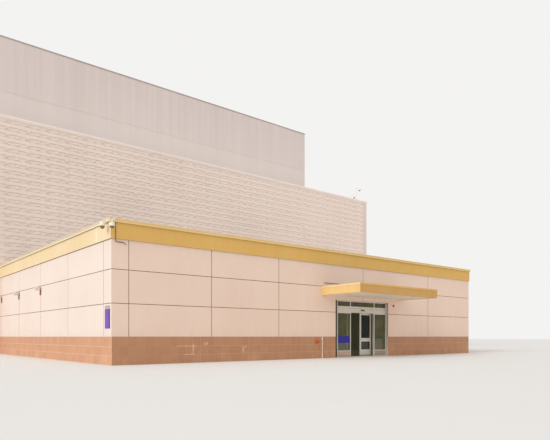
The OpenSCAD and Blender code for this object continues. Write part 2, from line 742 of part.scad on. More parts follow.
module upper_back_wall() color("#d4c9bf") difference() {
    slab(upper_x0 + upper_wall_t, upper_x1 - upper_wall_t, upper_y1 - upper_wall_t, upper_y1,
         upper_z0, upper_h - roof_coping_h);
    upper_joint();
}

module upper_roof() color("#bdbab2")
    slab(upper_x0 + upper_wall_t, upper_x1 - upper_wall_t, upper_y0 + upper_wall_t, upper_y1 - upper_wall_t,
         upper_h - hall_parapet - deck_t, upper_h - hall_parapet);

module upper_coping() color("#8d857d")
    coping_ring(upper_x0, upper_x1, upper_y0, upper_y1, upper_wall_t, roof_coping_proud, upper_h,
                roof_coping_h);

// Dome camera on a post that stands on the coping; turn gives the way its arm points
module post_camera(post_h, turn) {
    post_r = 30;
    cylinder(r = 90, h = 20);
    cylinder(r = post_r, h = post_h);
    translate([0, 0, post_h - 50]) rotate([0, 0, turn]) dome_camera(roof_cam_reach, 100);
}

// Cameras over the hall's front right corner: two look over the front, one over the right side
module roof_cameras() color("#c9c6c0") {
    mid = hall_wall_t / 2;
    for (i = [0, 1])
        translate([hall_x1 - roof_post_from_corner[i], hall_y0 + mid, hall_h])
            post_camera(roof_post_heights[i], 90);
    translate([hall_x1 - mid, hall_y0 + roof_post_from_corner[2], hall_h])
        post_camera(roof_post_heights[2], 180);
}

front_wall_left();
front_wall_right();
front_wall_over_entrance();
left_wall();
right_wall();
front_panels();
side_panels();
front_wainscot();
side_wainscot();
fascia();
wing_coping();
wing_roof();
floor();
canopy_deck();
canopy_fascia();
canopy_soffit();
canopy_flashing();
storefront_frame();
storefront_glass();
door_header();
door_sensor();
door_saddle();
left_door_frame();
left_door_glass();
right_door_frame();
right_door_glass();
wall_lights();
sign_plates();
corner_cameras();
camera_conduit();
hose_connection();
alarm();
service_pipe();
hall_front_lower();
hall_front_upper();
hall_side_walls();
hall_back_wall();
hall_roof();
hall_coping();
upper_front_wall();
upper_side_walls();
upper_back_wall();
upper_roof();
upper_coping();
roof_cameras();
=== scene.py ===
"""Supermarket building: its looks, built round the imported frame. Lengths are metres in the frame's axes."""
import math
import random

import bmesh
import bpy
from mathutils import Matrix, Vector


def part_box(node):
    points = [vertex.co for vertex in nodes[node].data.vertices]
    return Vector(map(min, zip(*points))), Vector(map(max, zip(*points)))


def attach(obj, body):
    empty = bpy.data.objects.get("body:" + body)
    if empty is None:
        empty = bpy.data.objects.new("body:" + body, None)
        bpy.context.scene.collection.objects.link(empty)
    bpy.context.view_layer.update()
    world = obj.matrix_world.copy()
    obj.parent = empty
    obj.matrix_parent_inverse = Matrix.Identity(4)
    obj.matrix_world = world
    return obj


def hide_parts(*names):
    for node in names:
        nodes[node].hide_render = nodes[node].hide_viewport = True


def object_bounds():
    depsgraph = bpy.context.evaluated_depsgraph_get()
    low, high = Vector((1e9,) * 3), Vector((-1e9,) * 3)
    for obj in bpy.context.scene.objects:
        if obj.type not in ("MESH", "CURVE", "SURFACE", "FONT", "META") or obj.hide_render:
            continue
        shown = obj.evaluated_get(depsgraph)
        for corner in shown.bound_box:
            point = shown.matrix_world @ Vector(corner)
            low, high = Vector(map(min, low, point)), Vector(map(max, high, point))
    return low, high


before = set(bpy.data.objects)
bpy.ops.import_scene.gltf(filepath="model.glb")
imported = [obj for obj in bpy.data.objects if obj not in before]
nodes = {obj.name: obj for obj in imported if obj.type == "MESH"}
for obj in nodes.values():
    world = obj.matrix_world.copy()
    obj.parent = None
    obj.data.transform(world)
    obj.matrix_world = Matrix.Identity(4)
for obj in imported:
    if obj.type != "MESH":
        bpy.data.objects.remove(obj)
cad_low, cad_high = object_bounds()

# Camera, as solved from the level edges in the photograph; it looks level along CAMERA_WAY (X, Y)
CAMERA_AT = (-22.72, -20.16, 1.12)
CAMERA_WAY = (0.6333, 0.7739)
PHOTO_W = 550
PHOTO_H = 440
FOCAL_PX = 535.6
HORIZON_PX = 336.6
SENSOR_MM = 36.0


def placed(name, data):
    """A new object in the scene."""
    made = bpy.data.objects.new(name, data)
    bpy.context.scene.collection.objects.link(made)
    return made


def make_camera():
    data = bpy.data.cameras.new("camera")
    data.sensor_width = SENSOR_MM
    data.lens = FOCAL_PX / PHOTO_W * SENSOR_MM
    data.shift_y = (HORIZON_PX - PHOTO_H / 2) / PHOTO_W
    data.clip_start = 0.1
    data.clip_end = 500
    camera = placed("camera", data)
    camera.location = CAMERA_AT
    camera.rotation_euler = (math.radians(90), 0, -math.atan2(*CAMERA_WAY))
    bpy.context.scene.camera = camera


# Colours
def linear(r, g, b):
    """An 8-bit sRGB colour as linear RGBA."""
    def one(c):
        c /= 255
        return c / 12.92 if c <= 0.04045 else ((c + 0.055) / 1.055) ** 2.4
    return (one(r), one(g), one(b), 1)


# Pairs: for most faces, and a painted sunlit copy for those that face -X
FACING = linear(242, 216, 198), linear(231, 216, 205)
GOLD = linear(228, 182, 98), linear(233, 209, 166)
CAP = linear(244, 207, 136), linear(233, 217, 184)
CANOPY = linear(212, 164, 95), linear(232, 196, 130)
TILES = linear(196, 144, 106), linear(214, 160, 124)
GROUTS = linear(224, 184, 154), linear(252, 220, 190)
PLATES = linear(36, 30, 156), linear(119, 82, 184)
# Pairs: fresh and worn
INSIDE = linear(206, 200, 190), linear(186, 178, 166)
SOFFIT = linear(246, 233, 212), linear(230, 212, 186)
GLASS = linear(100, 116, 108), linear(122, 138, 128)
LENS = linear(122, 98, 68), linear(172, 146, 112)
SHEET = linear(232, 204, 180), linear(210, 178, 150)
SHEET_EDGE = linear(128, 100, 84), linear(100, 78, 66)
# Pair: left and right of the doorway
KICKS = linear(206, 178, 158), linear(176, 158, 142)
# Two of the sheets or tiles, and their joint
ROOF = linear(190, 186, 178), linear(180, 176, 168), linear(150, 146, 138)
FLOOR = linear(202, 194, 182), linear(190, 182, 170), linear(140, 132, 122)
JOINT = linear(104, 42, 12)
JOINT_PALE = linear(134, 72, 34)
JOINT_FAINT = linear(204, 172, 156)
# Painted highlight for the gold's tops and lip, and painted shade for its undersides
GOLD_HIGHLIGHT = linear(240, 218, 172)
GOLD_UNDERSIDE_SHADE = linear(96, 66, 40)
LIME = linear(246, 214, 182)
RELIEF = linear(248, 231, 221)
CORNER = linear(232, 219, 213)
UPPER = linear(237, 224, 219)
ROOF_DAMP = linear(142, 136, 126)
ROOF_DUST = linear(212, 208, 200)
FLECK = linear(126, 116, 106)
GROOVE = linear(150, 130, 106)
FILM = linear(178, 172, 124)

# Places that the materials depend on: the left wall's panels, its core, the wing's left end and middle
LEFT_WALL_X = -14.4
LEFT_CORE_X = -14.2
WING_LEFT_X = -14.5
WING_MIDDLE_X = -1.85
# Outer planes of the panels: the front's, and the sides' with the way out of each; and the panels' grid
PANEL_FRONT_Y = -0.145
PANEL_SIDES_X = ((-1, -14.505), (1, 10.795))
PANEL_GRID_SHIFT = (-0.1, 0.4, -1.12)
PANEL_GRID = (3.85, 4.24, 1.3)
# Upright joints of the side walls, the wall lights, lips and edges, and the top and face of the wainscot
UPRIGHT_Y = 0.63
UPRIGHT_STEP = 2.12
FIRST_LAMP_Y = 8.0
LAMP_FOOT_Z = 3.62
CAP_LIP_Z = 5.655
NO_LIP_Z = 1000
FLASHING_EDGE_Z = 3.905
WAINSCOT_Z = 1.12
WAINSCOT_Y = -0.1
DIRTY_X = (-12.4, -10.8)
# Lime marks on the front wainscot: x from and to, z from and to, and how soft their edges are
LIME_SPOTS = [(-10.9, -10.85, 0.36, 0.8), (-11.66, -10.71, 0.705, 0.73), (-11.32, -10.85, 0.35, 0.37),
              (-10.35, -10.15, 0.76, 0.86), (-8.26, -8.2, 0.42, 0.66), (-8.27, -8.05, 0.64, 0.68)]
LIME_BLUR = 0.02

# Wainscot tiles: width, first joint from the corner, heights of the level joints
TILE = 0.3683
TILE_FIRST = 0.317
TILE_ROWS = (0.36, 0.718)

# Colour sockets of a Mix node
MIX_A = 6
MIX_B = 7
MIX_RESULT = 2

# Every material, by the name that its function gives it
MATERIALS = {}


class Shader:
    """A material, and short calls that add nodes to it and join them."""

    def __init__(self, name):
        self.material = MATERIALS[name] = bpy.data.materials.new(name)
        self.material.use_nodes = True
        self.tree = self.material.node_tree
        self.bsdf = self.tree.nodes["Principled BSDF"]
        self.place = self.node("ShaderNodeTexCoord").outputs["Object"]
        self.x, self.y, self.z = self.node("ShaderNodeSeparateXYZ", {0: self.place}).outputs

    def node(self, kind, inputs=None, **settings):
        """Adds a node; each input is a value, or a socket to join."""
        made = self.tree.nodes.new(kind)
        for key, value in settings.items():
            setattr(made, key, value)
        for key, source in (inputs or {}).items():
            self.join(source, made.inputs[key])
        return made

    def join(self, source, target):
        if isinstance(source, bpy.types.NodeSocket):
            self.tree.links.new(source, target)
        else:
            target.default_value = source

    def math(self, operation, a, b=0.0):
        return self.node("ShaderNodeMath", {0: a, 1: b}, operation=operation).outputs[0]

    def plus(self, a, b):
        return self.math("ADD", a, b)

    def times(self, product, *others):
        for other in others:
            product = self.math("MULTIPLY", product, other)
        return product

    def above(self, value, limit):
        """1 where the value is above the limit, and 0 elsewhere."""
        return self.math("GREATER_THAN", value, limit)

    def below(self, value, limit):
        return self.math("LESS_THAN", value, limit)

    def vector(self, operation, a, b):
        return self.node("ShaderNodeVectorMath", {0: a, 1: b}, operation=operation).outputs[0]

    def normal(self, axis):
        way = self.node("ShaderNodeNewGeometry").outputs["True Normal"]
        return self.node("ShaderNodeSeparateXYZ", {0: way}).outputs[axis]

    def noise(self, size, detail=3, rough=0.55, place=None):
        inputs = {"Vector": place or self.place, "Scale": 1 / size, "Detail": detail, "Roughness": rough}
        return self.node("ShaderNodeTexNoise", inputs).outputs[0]

    def runs(self, across, up, detail=5, rough=0.6):
        """Noise at one scale across and another along Z."""
        return self.noise(1.0, detail, rough, self.vector("MULTIPLY", self.place, (across, across, up)))

    def tones(self, place, size):
        """A random value for each cell of a grid."""
        cell = self.vector("SNAP", place, size)
        return self.node("ShaderNodeTexWhiteNoise", {"Vector": cell}, noise_dimensions="3D").outputs["Value"]

    def bricks(self, width, height, joint, smooth, colours, **settings):
        inputs = {"Vector": self.place, "Scale": 1, "Brick Width": width, "Row Height": height,
                  "Mortar Size": joint, "Mortar Smooth": smooth}
        inputs.update(zip(("Color1", "Color2", "Mortar"), colours))
        return self.node("ShaderNodeTexBrick", inputs, **settings)

    def ramp(self, value, low, high, to_low=0.0, to_high=1.0):
        """Maps low..high of a value to to_low..to_high, held at the ends."""
        inputs = dict(enumerate((value, low, high, to_low, to_high)))
        return self.node("ShaderNodeMapRange", inputs, clamp=True).outputs[0]

    def mix(self, share, a, b):
        """Colour a with a share of colour b over it."""
        made = self.node("ShaderNodeMix", {0: share, MIX_A: a, MIX_B: b}, data_type="RGBA")
        return made.outputs[MIX_RESULT]

    def fade(self, a, b, value, low, high, most):
        """Colour a with b over it, from nothing where a value is low to the most where it is high."""
        return self.mix(self.ramp(value, low, high, 0, most), a, b)

    def tinted(self, colour, factors):
        """A colour, or a socket that gives one, with its red, green and blue multiplied."""
        if not isinstance(colour, bpy.types.NodeSocket):
            colour = colour[:3]
        return self.vector("MULTIPLY", colour, factors)

    def sunlit_sided(self, pair):
        """One colour for most faces, and a painted sunlit copy of it for those that face -X."""
        return self.mix(self.below(self.normal("X"), -0.5), *pair)

    def bump(self, height, deep):
        made = self.node("ShaderNodeBump", {"Distance": deep, "Height": height})
        self.join(made.outputs["Normal"], self.bsdf.inputs["Normal"])

    def finish(self, colour, roughness, metallic=0.0):
        self.join(colour, self.bsdf.inputs["Base Color"])
        self.join(roughness, self.bsdf.inputs["Roughness"])
        self.bsdf.inputs["Metallic"].default_value = metallic


def off_upright(s):
    """How far a place is along Y from the nearest upright joint of the side walls."""
    return s.math("PINGPONG", s.plus(s.y, -UPRIGHT_Y), UPRIGHT_STEP)


def facing_material():
    """Sprayed facing panels: fine grain, soft clouds, runs below the fascia and a little dirt at the foot."""
    s = Shader("facing")
    # Faces that look to -X get a painted sunlit copy of the facing colour
    base = s.sunlit_sided(FACING)
    stain = s.tinted(base, (0.9, 0.85, 0.82))
    run = s.runs(4.0, 0.16)
    small = s.noise(0.4, 4, 0.6)
    shade = s.fade(base, stain, s.noise(3.2, 4, 0.5), 0.42, 0.66, 0.3)
    shade = s.fade(shade, s.tinted(base, (1.04, 1.07, 1.09)), run, 0.5, 0.75, 0.4)
    under = s.times(s.ramp(s.z, 4.2, 4.9), s.ramp(run, 0.42, 0.7, 0.05, 0.5))
    foot = s.times(s.ramp(s.z, WAINSCOT_Z, 1.5, 1, 0), s.ramp(small, 0.35, 0.65, 0.1, 0.5))
    shade = s.mix(foot, s.mix(under, shade, stain), stain)
    # Rust runs down the joints below the wall lights
    lit = s.times(s.above(s.y, FIRST_LAMP_Y), s.below(s.x, LEFT_WALL_X), s.below(s.z, LAMP_FOOT_Z))
    rust = s.times(s.ramp(off_upright(s), 0.02, 0.15, 0.8, 0), s.ramp(s.z, 1.2, 3.6, 0.25, 0.7), lit)
    shade = s.mix(s.times(rust, s.ramp(small, 0.3, 0.6, 0.5, 1)), shade, s.tinted(base, (0.9, 0.66, 0.55)))
    # Each panel has a tone of its own
    tone = s.tones(s.vector("ADD", s.place, PANEL_GRID_SHIFT), PANEL_GRID)
    shade = s.mix(s.times(tone, 0.14), shade, stain)
    # Mastic on the edges inside the joints, which aren't on the outer planes
    outer = s.times(s.below(s.normal("Y"), -0.5), s.below(s.y, PANEL_FRONT_Y))
    for side, plane in PANEL_SIDES_X:
        face = s.above(s.times(s.normal("X"), side), 0.5)
        off = s.above(s.times(s.plus(s.x, -plane), side), 0)
        outer = s.math("MAXIMUM", outer, s.times(face, off))
    # The left wall's upright joints are filled flush and show as faint lines
    filled = s.times(s.above(s.math("ABSOLUTE", s.normal("Y")), 0.5), s.below(s.x, LEFT_WALL_X), 0.8)
    s.bump(s.noise(0.008, 3, 0.6), 0.0015)
    mastic = s.mix(filled, JOINT_PALE, JOINT_FAINT)
    s.finish(s.mix(outer, mastic, shade), s.ramp(small, 0.3, 0.7, 0.78, 0.9))


def wall_core_material():
    """Dark mastic where the open joints show the outer faces, pale paint on the inner faces."""
    s = Shader("wall_core")
    paint = s.fade(*INSIDE, s.noise(1.2), 0.4, 0.7, 0.4)
    filled = s.times(s.below(off_upright(s), 0.03), s.below(s.x, LEFT_CORE_X), 0.8)
    mastic = s.mix(filled, s.mix(s.noise(0.3), JOINT, JOINT_PALE), JOINT_FAINT)
    aside = s.times(s.normal("X"), s.math("SIGN", s.plus(s.x, -WING_MIDDLE_X)))
    outer = s.math("MAXIMUM", s.below(s.normal("Y"), -0.5), s.above(aside, 0.5))
    s.bump(s.noise(0.01), 0.001)
    s.finish(s.mix(outer, paint, mastic), 0.92)


def gold_material(name, pair, lip_z=NO_LIP_Z):
    """Weathered gold paint: chalked runs, pale clouds, a painted highlight on the tops and above lip_z, and
    painted shade on the drip edges.
    """
    s = Shader(name)
    # Faces that look to -X get a painted sunlit copy of the paint
    base = s.sunlit_sided(pair)
    cloud = s.noise(2.6, 4, 0.55)
    worn = s.tinted(base, (0.88, 0.82, 0.7))
    shade = s.fade(base, worn, s.runs(3.0, 0.5), 0.45, 0.75, 0.35)
    shade = s.fade(shade, s.tinted(base, (1.06, 1.12, 1.35)), cloud, 0.45, 0.72, 0.45)
    # Painted highlight on faces that look up, and along the coping's lip
    shade = s.fade(shade, GOLD_HIGHLIGHT, s.normal("Z"), 0.2, 0.9, 0.6)
    shade = s.fade(shade, GOLD_HIGHLIGHT, s.z, lip_z - 0.005, lip_z, 0.5)
    shade = s.fade(shade, worn, s.noise(0.12, 4, 0.7), 0.62, 0.75, 0.3)
    # Painted shade on the faces that look down
    shade = s.mix(s.ramp(s.normal("Z"), -0.8, -0.3, 0.75, 0), shade, GOLD_UNDERSIDE_SHADE)
    s.bump(s.noise(0.4, 3, 0.5), 0.002)
    s.finish(shade, s.ramp(cloud, 0.3, 0.7, 0.5, 0.66))


def limed(s):
    """How strongly lime has come out of the front wainscot, at the few places where it shows."""
    share = 0.0
    for spot in LIME_SPOTS:
        edges = []
        for place, low, high in ((s.x, *spot[:2]), (s.z, *spot[2:])):
            off = s.math("ABSOLUTE", s.plus(place, -(low + high) / 2))
            edges.append(s.ramp(off, (high - low) / 2, (high - low) / 2 + LIME_BLUR, 1, 0))
        share = s.math("MAXIMUM", share, s.times(*edges))
    return s.times(share, s.ramp(s.noise(0.15, 3), 0.35, 0.6, 0.15, 0.48), s.below(s.y, WAINSCOT_Y))


def tile_material():
    """Glazed brown tiles, each of its own tone, mottled, with a breath of lime near the ground."""
    s = Shader("wainscot_tile")
    # Faces that look to -X get a painted sunlit copy of the tile colour
    base = s.sunlit_sided(TILES)
    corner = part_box("side_wainscot")[0]
    laid = s.vector("ADD", s.place, (-corner.x - TILE_FIRST, -corner.y - TILE_FIRST, 0))
    # The top row is higher than the first, so its heights are held inside one cell
    tone = s.tones(s.vector("MINIMUM", laid, (1000, 1000, 1.0)), (TILE, TILE, TILE_ROWS[0]))
    shade = s.mix(s.times(tone, 0.45), base, s.tinted(base, (0.8, 0.76, 0.74)))
    mottle = s.noise(0.04, 4, 0.7)
    shade = s.fade(shade, s.tinted(base, (0.68, 0.62, 0.6)), mottle, 0.42, 0.75, 0.45)
    lime = s.times(s.ramp(s.noise(0.8, 4, 0.6), 0.5, 0.7, 0, 0.4), s.ramp(s.z, 0, 0.6, 1, 0.15))
    shade = s.mix(lime, shade, s.tinted(base, (1.3, 1.55, 1.8)))
    s.bump(mottle, 0.0008)
    s.finish(s.mix(limed(s), shade, LIME), s.ramp(mottle, 0.3, 0.8, 0.36, 0.55))


def grout_material():
    """Pale joints of the tiles, which dirt has filled on the front near its left end."""
    s = Shader("grout")
    # Faces that look to -X get a painted sunlit copy of the grout colour
    base = s.sunlit_sided(GROUTS)
    shade = s.mix(s.noise(0.5), base, s.tinted(base, (0.78, 0.7, 0.64)))
    dirty = s.times(s.ramp(s.x, *DIRTY_X, 0.8, 0), s.below(s.y, WAINSCOT_Y), s.above(s.x, WING_LEFT_X))
    shade = s.mix(dirty, shade, TILES[0])
    s.bump(s.noise(0.004), 0.001)
    s.finish(s.mix(limed(s), shade, LIME), 0.95)


def relief_material():
    """Cast relief facing: sandy grain, wide soft clouds, and painted shade on the undersides of the stones.
    """
    s = Shader("relief_facing")
    dark = s.tinted(RELIEF, (0.86, 0.83, 0.81))
    shade = s.fade(RELIEF, dark, s.noise(5.0, 4, 0.5), 0.4, 0.68, 0.35)
    shade = s.fade(shade, dark, s.runs(2.2, 0.12), 0.48, 0.75, 0.3)
    shade = s.fade(shade, s.tinted(RELIEF, (1.05, 1.07, 1.08)), s.noise(0.3, 4, 0.6), 0.5, 0.75, 0.3)
    # Painted shade on the faces that look down, under each stone
    under = s.ramp(s.normal("Z"), -0.7, -0.2, 0.35, 0)
    s.bump(s.noise(0.015, 4, 0.6), 0.003)
    s.finish(s.mix(under, shade, s.tinted(RELIEF, (0.42, 0.36, 0.33))), 0.92)


def plain_corner_material():
    """The smooth cast strips at the corners of the hall, greyer than the relief."""
    s = Shader("plain_corner")
    s.bump(s.noise(0.01, 4, 0.6), 0.001)
    dark = s.tinted(CORNER, (0.88, 0.86, 0.85))
    s.finish(s.fade(CORNER, dark, s.runs(3.0, 0.1), 0.4, 0.7, 0.5), 0.88)


def upper_material():
    """Smooth render: faint runs below the coping, greyer high up and paler towards the foot."""
    s = Shader("upper_render")
    dark = s.tinted(UPPER, (0.86, 0.85, 0.84))
    pale = s.tinted(UPPER, (1.05, 1.06, 1.06))
    run = s.runs(4.0, 0.06, 6, 0.65)
    shade = s.fade(UPPER, dark, run, 0.42, 0.7, 0.3)
    shade = s.fade(shade, dark, s.runs(0.35, 0.06, 3, 0.5), 0.4, 0.65, 0.3)
    shade = s.fade(shade, pale, s.noise(5.0, 4, 0.5), 0.5, 0.72, 0.35)
    high = s.times(s.ramp(s.z, 17.5, 21.5), s.ramp(run, 0.3, 0.65, 0.35, 0.8))
    shade = s.mix(s.ramp(s.z, 18.1, 18.5, 0.35, 0), s.mix(high, shade, dark), pale)
    s.bump(s.noise(0.02, 3), 0.002)
    s.finish(shade, 0.9)


def roofing_material():
    """Mineral felt in rolls, with lapped seams, dust and damp marks."""
    s = Shader("roofing")
    felt = s.bricks(8, 1, 0.02, 0.4, ROOF)
    shade = s.fade(felt.outputs["Color"], ROOF_DAMP, s.noise(2.6, 5, 0.6), 0.45, 0.68, 0.55)
    s.bump(s.plus(s.noise(0.02), s.times(felt.outputs["Fac"], 0.8)), 0.003)
    s.finish(s.fade(shade, ROOF_DUST, s.noise(0.02, 2), 0.5, 0.7, 0.3), 0.88)


def floor_material():
    """Square vinyl tiles with flecks."""
    s = Shader("shop_floor")
    tiles = s.bricks(0.305, 0.305, 0.002, 0.1, FLOOR, offset=0.0)
    s.finish(s.fade(tiles.outputs["Color"], FLECK, s.noise(0.01, 2), 0.55, 0.7, 0.4), 0.3)


def soffit_material():
    """Painted boards, one every 150 mm, with shallow grooves between them."""
    s = Shader("soffit")
    line = s.ramp(s.math("PINGPONG", s.x, 0.075), 0.0, 0.006, 1, 0)
    s.bump(s.times(line, -1.0), 0.004)
    boards = s.fade(*SOFFIT, s.noise(0.8, 4), 0.4, 0.7, 0.45)
    s.finish(s.mix(s.times(line, 0.5), boards, GROOVE), 0.7)


def metal_material(name, colour, worn, rough, metallic):
    """Anodised or coated bar: fine lines along it and a little grime."""
    s = Shader(name)
    lines = s.runs(220, 5, 3)
    worn = linear(*worn)
    shade = s.fade(linear(*colour), worn, lines, 0.35, 0.7, 0.25)
    s.bump(lines, 0.0002)
    s.finish(s.fade(shade, worn, s.noise(0.4, 4), 0.5, 0.75, 0.4),
             s.ramp(lines, 0.3, 0.7, rough - 0.06, rough + 0.08), metallic)


def paint_material(name, colour, worn, rough, size):
    """A painted or moulded piece with soft wear."""
    s = Shader(name)
    wear = s.noise(size, 5, 0.6)
    s.bump(s.noise(size * 0.15, 2), 0.0005)
    s.finish(s.fade(linear(*colour), linear(*worn), wear, 0.5, 0.75, 0.6),
             s.ramp(wear, 0.3, 0.7, rough - 0.08, rough + 0.1))


def glass_material(name, film, mirror):
    """Tinted float glass with faint smears, and a share of dusty film on it."""
    s = Shader(name)
    s.bsdf.inputs["Specular IOR Level"].default_value = mirror
    s.bsdf.inputs["Transmission Weight"].default_value = 1.0 - film
    s.bsdf.inputs["IOR"].default_value = 1.5
    smear = s.noise(0.5, 4, 0.6)
    tint = s.fade(*GLASS, smear, 0.4, 0.8, 0.4)
    if film:
        tint = s.mix(s.ramp(s.noise(0.7, 3, 0.5), 0.3, 0.7, 0.45, 1), tint, FILM)
    s.finish(tint, s.ramp(smear, 0.45, 0.9, 0.0, 0.05))


def plate_material():
    """Enamelled sheet with faded patches; faces that look to -X get a painted sunlit copy of its colour."""
    s = Shader("blue_plate")
    base = s.sunlit_sided(PLATES)
    wear = s.noise(0.3, 5, 0.6)
    s.finish(s.fade(base, s.tinted(base, (1.5, 1.6, 1.15)), wear, 0.5, 0.75, 0.5),
             s.ramp(wear, 0.3, 0.7, 0.32, 0.5))


def lens_material():
    """Smoked dome of a camera."""
    s = Shader("smoked_dome")
    s.bsdf.inputs["Coat Weight"].default_value = 0.6
    dust = s.noise(0.05, 4, 0.6)
    s.finish(s.fade(*LENS, dust, 0.5, 0.8, 0.4), s.ramp(dust, 0.3, 0.8, 0.1, 0.35))


def flashing_material():
    """Sheet painted as the wall, with a brown sealed edge along its top."""
    s = Shader("canopy_flashing")
    wear = s.noise(0.2, 4, 0.6)
    sheet = s.fade(*SHEET, wear, 0.4, 0.7, 0.4)
    edge = s.fade(*SHEET_EDGE, wear, 0.4, 0.7, 0.5)
    s.bump(wear, 0.001)
    s.finish(s.mix(s.above(s.z, FLASHING_EDGE_Z), sheet, edge), 0.6)


def kick_material():
    """Painted kick panels: pinkish beige on the left, a browner repaint on the right."""
    s = Shader("kick_panel")
    base = s.mix(s.above(s.x, 0.0), *KICKS)
    scuff = s.runs(6, 24, 4)
    foot = s.times(s.ramp(s.z, 0.05, 0.2, 0.7, 0.1), s.ramp(scuff, 0.4, 0.65, 0.1, 1))
    s.bump(scuff, 0.0004)
    s.finish(s.mix(foot, base, s.tinted(base, (0.62, 0.56, 0.52))), 0.55)


# Bars: name, 8-bit colour, worn colour, roughness, how metallic
METALS = [
    ("anodised", (234, 227, 216), (192, 183, 170), 0.42, 0.35),
    # Dark sheet on the filler: painted shade of the wall's corner
    ("filler_shade_sheet", (92, 84, 76), (62, 58, 54), 0.5, 0.2),
    ("worn_brass", (202, 128, 70), (150, 92, 56), 0.4, 0.5),
    ("steel", (190, 188, 184), (140, 136, 130), 0.3, 0.9),
]

# Painted and moulded pieces: name, 8-bit colour, worn colour, roughness, size of the wear
PAINTS = [
    ("frosted_lens", (222, 220, 212), (196, 190, 180), 0.25, 0.1),
    ("fascia_splice", (240, 226, 192), (228, 208, 166), 0.55, 0.3),
    # Painted shadow line under the fascia
    ("fascia_shadow_paint", (104, 76, 56), (136, 104, 80), 0.7, 0.3),
    ("rubber", (44, 42, 40), (78, 74, 70), 0.7, 0.05),
    ("white_housing", (241, 232, 210), (216, 204, 178), 0.4, 0.08),
    ("dark_plastic", (54, 50, 50), (84, 80, 78), 0.35, 0.08),
    ("lamp_paint", (232, 214, 204), (208, 186, 174), 0.5, 0.15),
    # Back plates of the wall lights: dark, partly a painted shadow of the heads
    ("bronze_and_shadow_paint", (138, 98, 80), (104, 74, 60), 0.5, 0.1),
    ("red_paint", (214, 116, 68), (170, 84, 52), 0.45, 0.08),
    ("alarm_paint", (196, 76, 62), (164, 92, 78), 0.45, 0.08),
    ("pipe_paint", (240, 230, 216), (212, 196, 176), 0.5, 0.08),
    ("conduit_paint", (128, 92, 66), (100, 72, 52), 0.55, 0.05),
    ("pale_coping", (255, 246, 239), (244, 232, 222), 0.6, 0.8),
    ("coping_apron", (251, 235, 224), (240, 222, 210), 0.6, 0.8),
    ("plate_backing", (190, 170, 172), (172, 152, 156), 0.5, 0.08),
    # Strip of painted shade on the screwed plate
    ("plate_shade_strip", (72, 43, 113), (84, 56, 122), 0.5, 0.08),
    ("dark_coping", (182, 170, 165), (160, 149, 144), 0.6, 0.8),
]


def make_materials():
    for make in (facing_material, wall_core_material, tile_material, grout_material, relief_material,
                 plain_corner_material, upper_material, roofing_material, floor_material, soffit_material,
                 kick_material, plate_material, lens_material, flashing_material):
        make()
    gold_material("gold_fascia", GOLD)
    gold_material("gold_coping", CAP, CAP_LIP_Z)
    gold_material("gold_canopy", CANOPY)
    gold_material("gold_canopy_trim", GOLD)
    glass_material("glass", 0, 0.15)
    glass_material("filmed_glass", 0.22, 0.5)
    for row in METALS:
        metal_material(*row)
    for row in PAINTS:
        paint_material(*row)


NODE_MATERIALS = {
    "wall_core": ["front_wall_left", "front_wall_right", "front_wall_over_entrance", "left_wall",
                  "right_wall"],
    "facing": ["front_panels", "side_panels"],
    "gold_fascia": ["fascia"],
    "gold_coping": ["wing_coping"],
    "gold_canopy": ["canopy_fascia"],
    "roofing": ["wing_roof", "hall_roof", "upper_roof", "canopy_deck"],
    "shop_floor": ["floor"],
    "soffit": ["canopy_soffit"],
    "canopy_flashing": ["canopy_flashing"],
    "conduit_paint": ["camera_conduit"],
    "anodised": ["storefront_frame", "door_header", "left_door_frame", "right_door_frame"],
    "steel": ["door_saddle"],
    "glass": ["left_door_glass", "right_door_glass"],
    "filmed_glass": ["storefront_glass"],
    "dark_plastic": ["door_sensor"],
    "lamp_paint": ["wall_lights"],
    "blue_plate": ["sign_plates"],
    "white_housing": ["corner_cameras", "roof_cameras"],
    "red_paint": ["hose_connection"],
    "alarm_paint": ["alarm"],
    "pipe_paint": ["service_pipe"],
    "wainscot_tile": ["front_wainscot", "side_wainscot"],
    "relief_facing": ["hall_front_lower", "hall_front_upper", "hall_side_walls", "hall_back_wall"],
    "upper_render": ["upper_front_wall", "upper_side_walls", "upper_back_wall"],
    "pale_coping": ["hall_coping"],
    "dark_coping": ["upper_coping"],
}


def dress_nodes():
    for key, names in NODE_MATERIALS.items():
        for name in names:
            mesh = nodes[name].data
            mesh.materials.clear()
            mesh.materials.append(MATERIALS[key])


# Sides of the building: the way along each, seen from outside, and the way out of it
FRONT = (1, 0, 0), (0, -1, 0)
BACK = (-1, 0, 0), (0, 1, 0)
LEFT = (0, -1, 0), (-1, 0, 0)
RIGHT = (0, 1, 0), (1, 0, 0)
OUT = Vector((0, -1, 0))
UP = Vector((0, 0, 1))
DOWN = -UP

BLOCK_FACES = [[0, 2, 3, 1], [4, 5, 7, 6], [0, 1, 5, 4], [2, 6, 7, 3], [0, 4, 6, 2], [1, 3, 7, 5]]
SMOOTH_ANGLE = 30
ARC_STEPS = 6
CORNER_STEPS = 5


class Wall:
    """A wall plane from its lower corner: u goes along it, v up and w out of it."""

    def __init__(self, corner, side):
        self.corner = Vector(corner)
        self.along, self.out = map(Vector, side)

    def at(self, u, v, w):
        return self.corner + self.along * u + self.out * w + UP * v


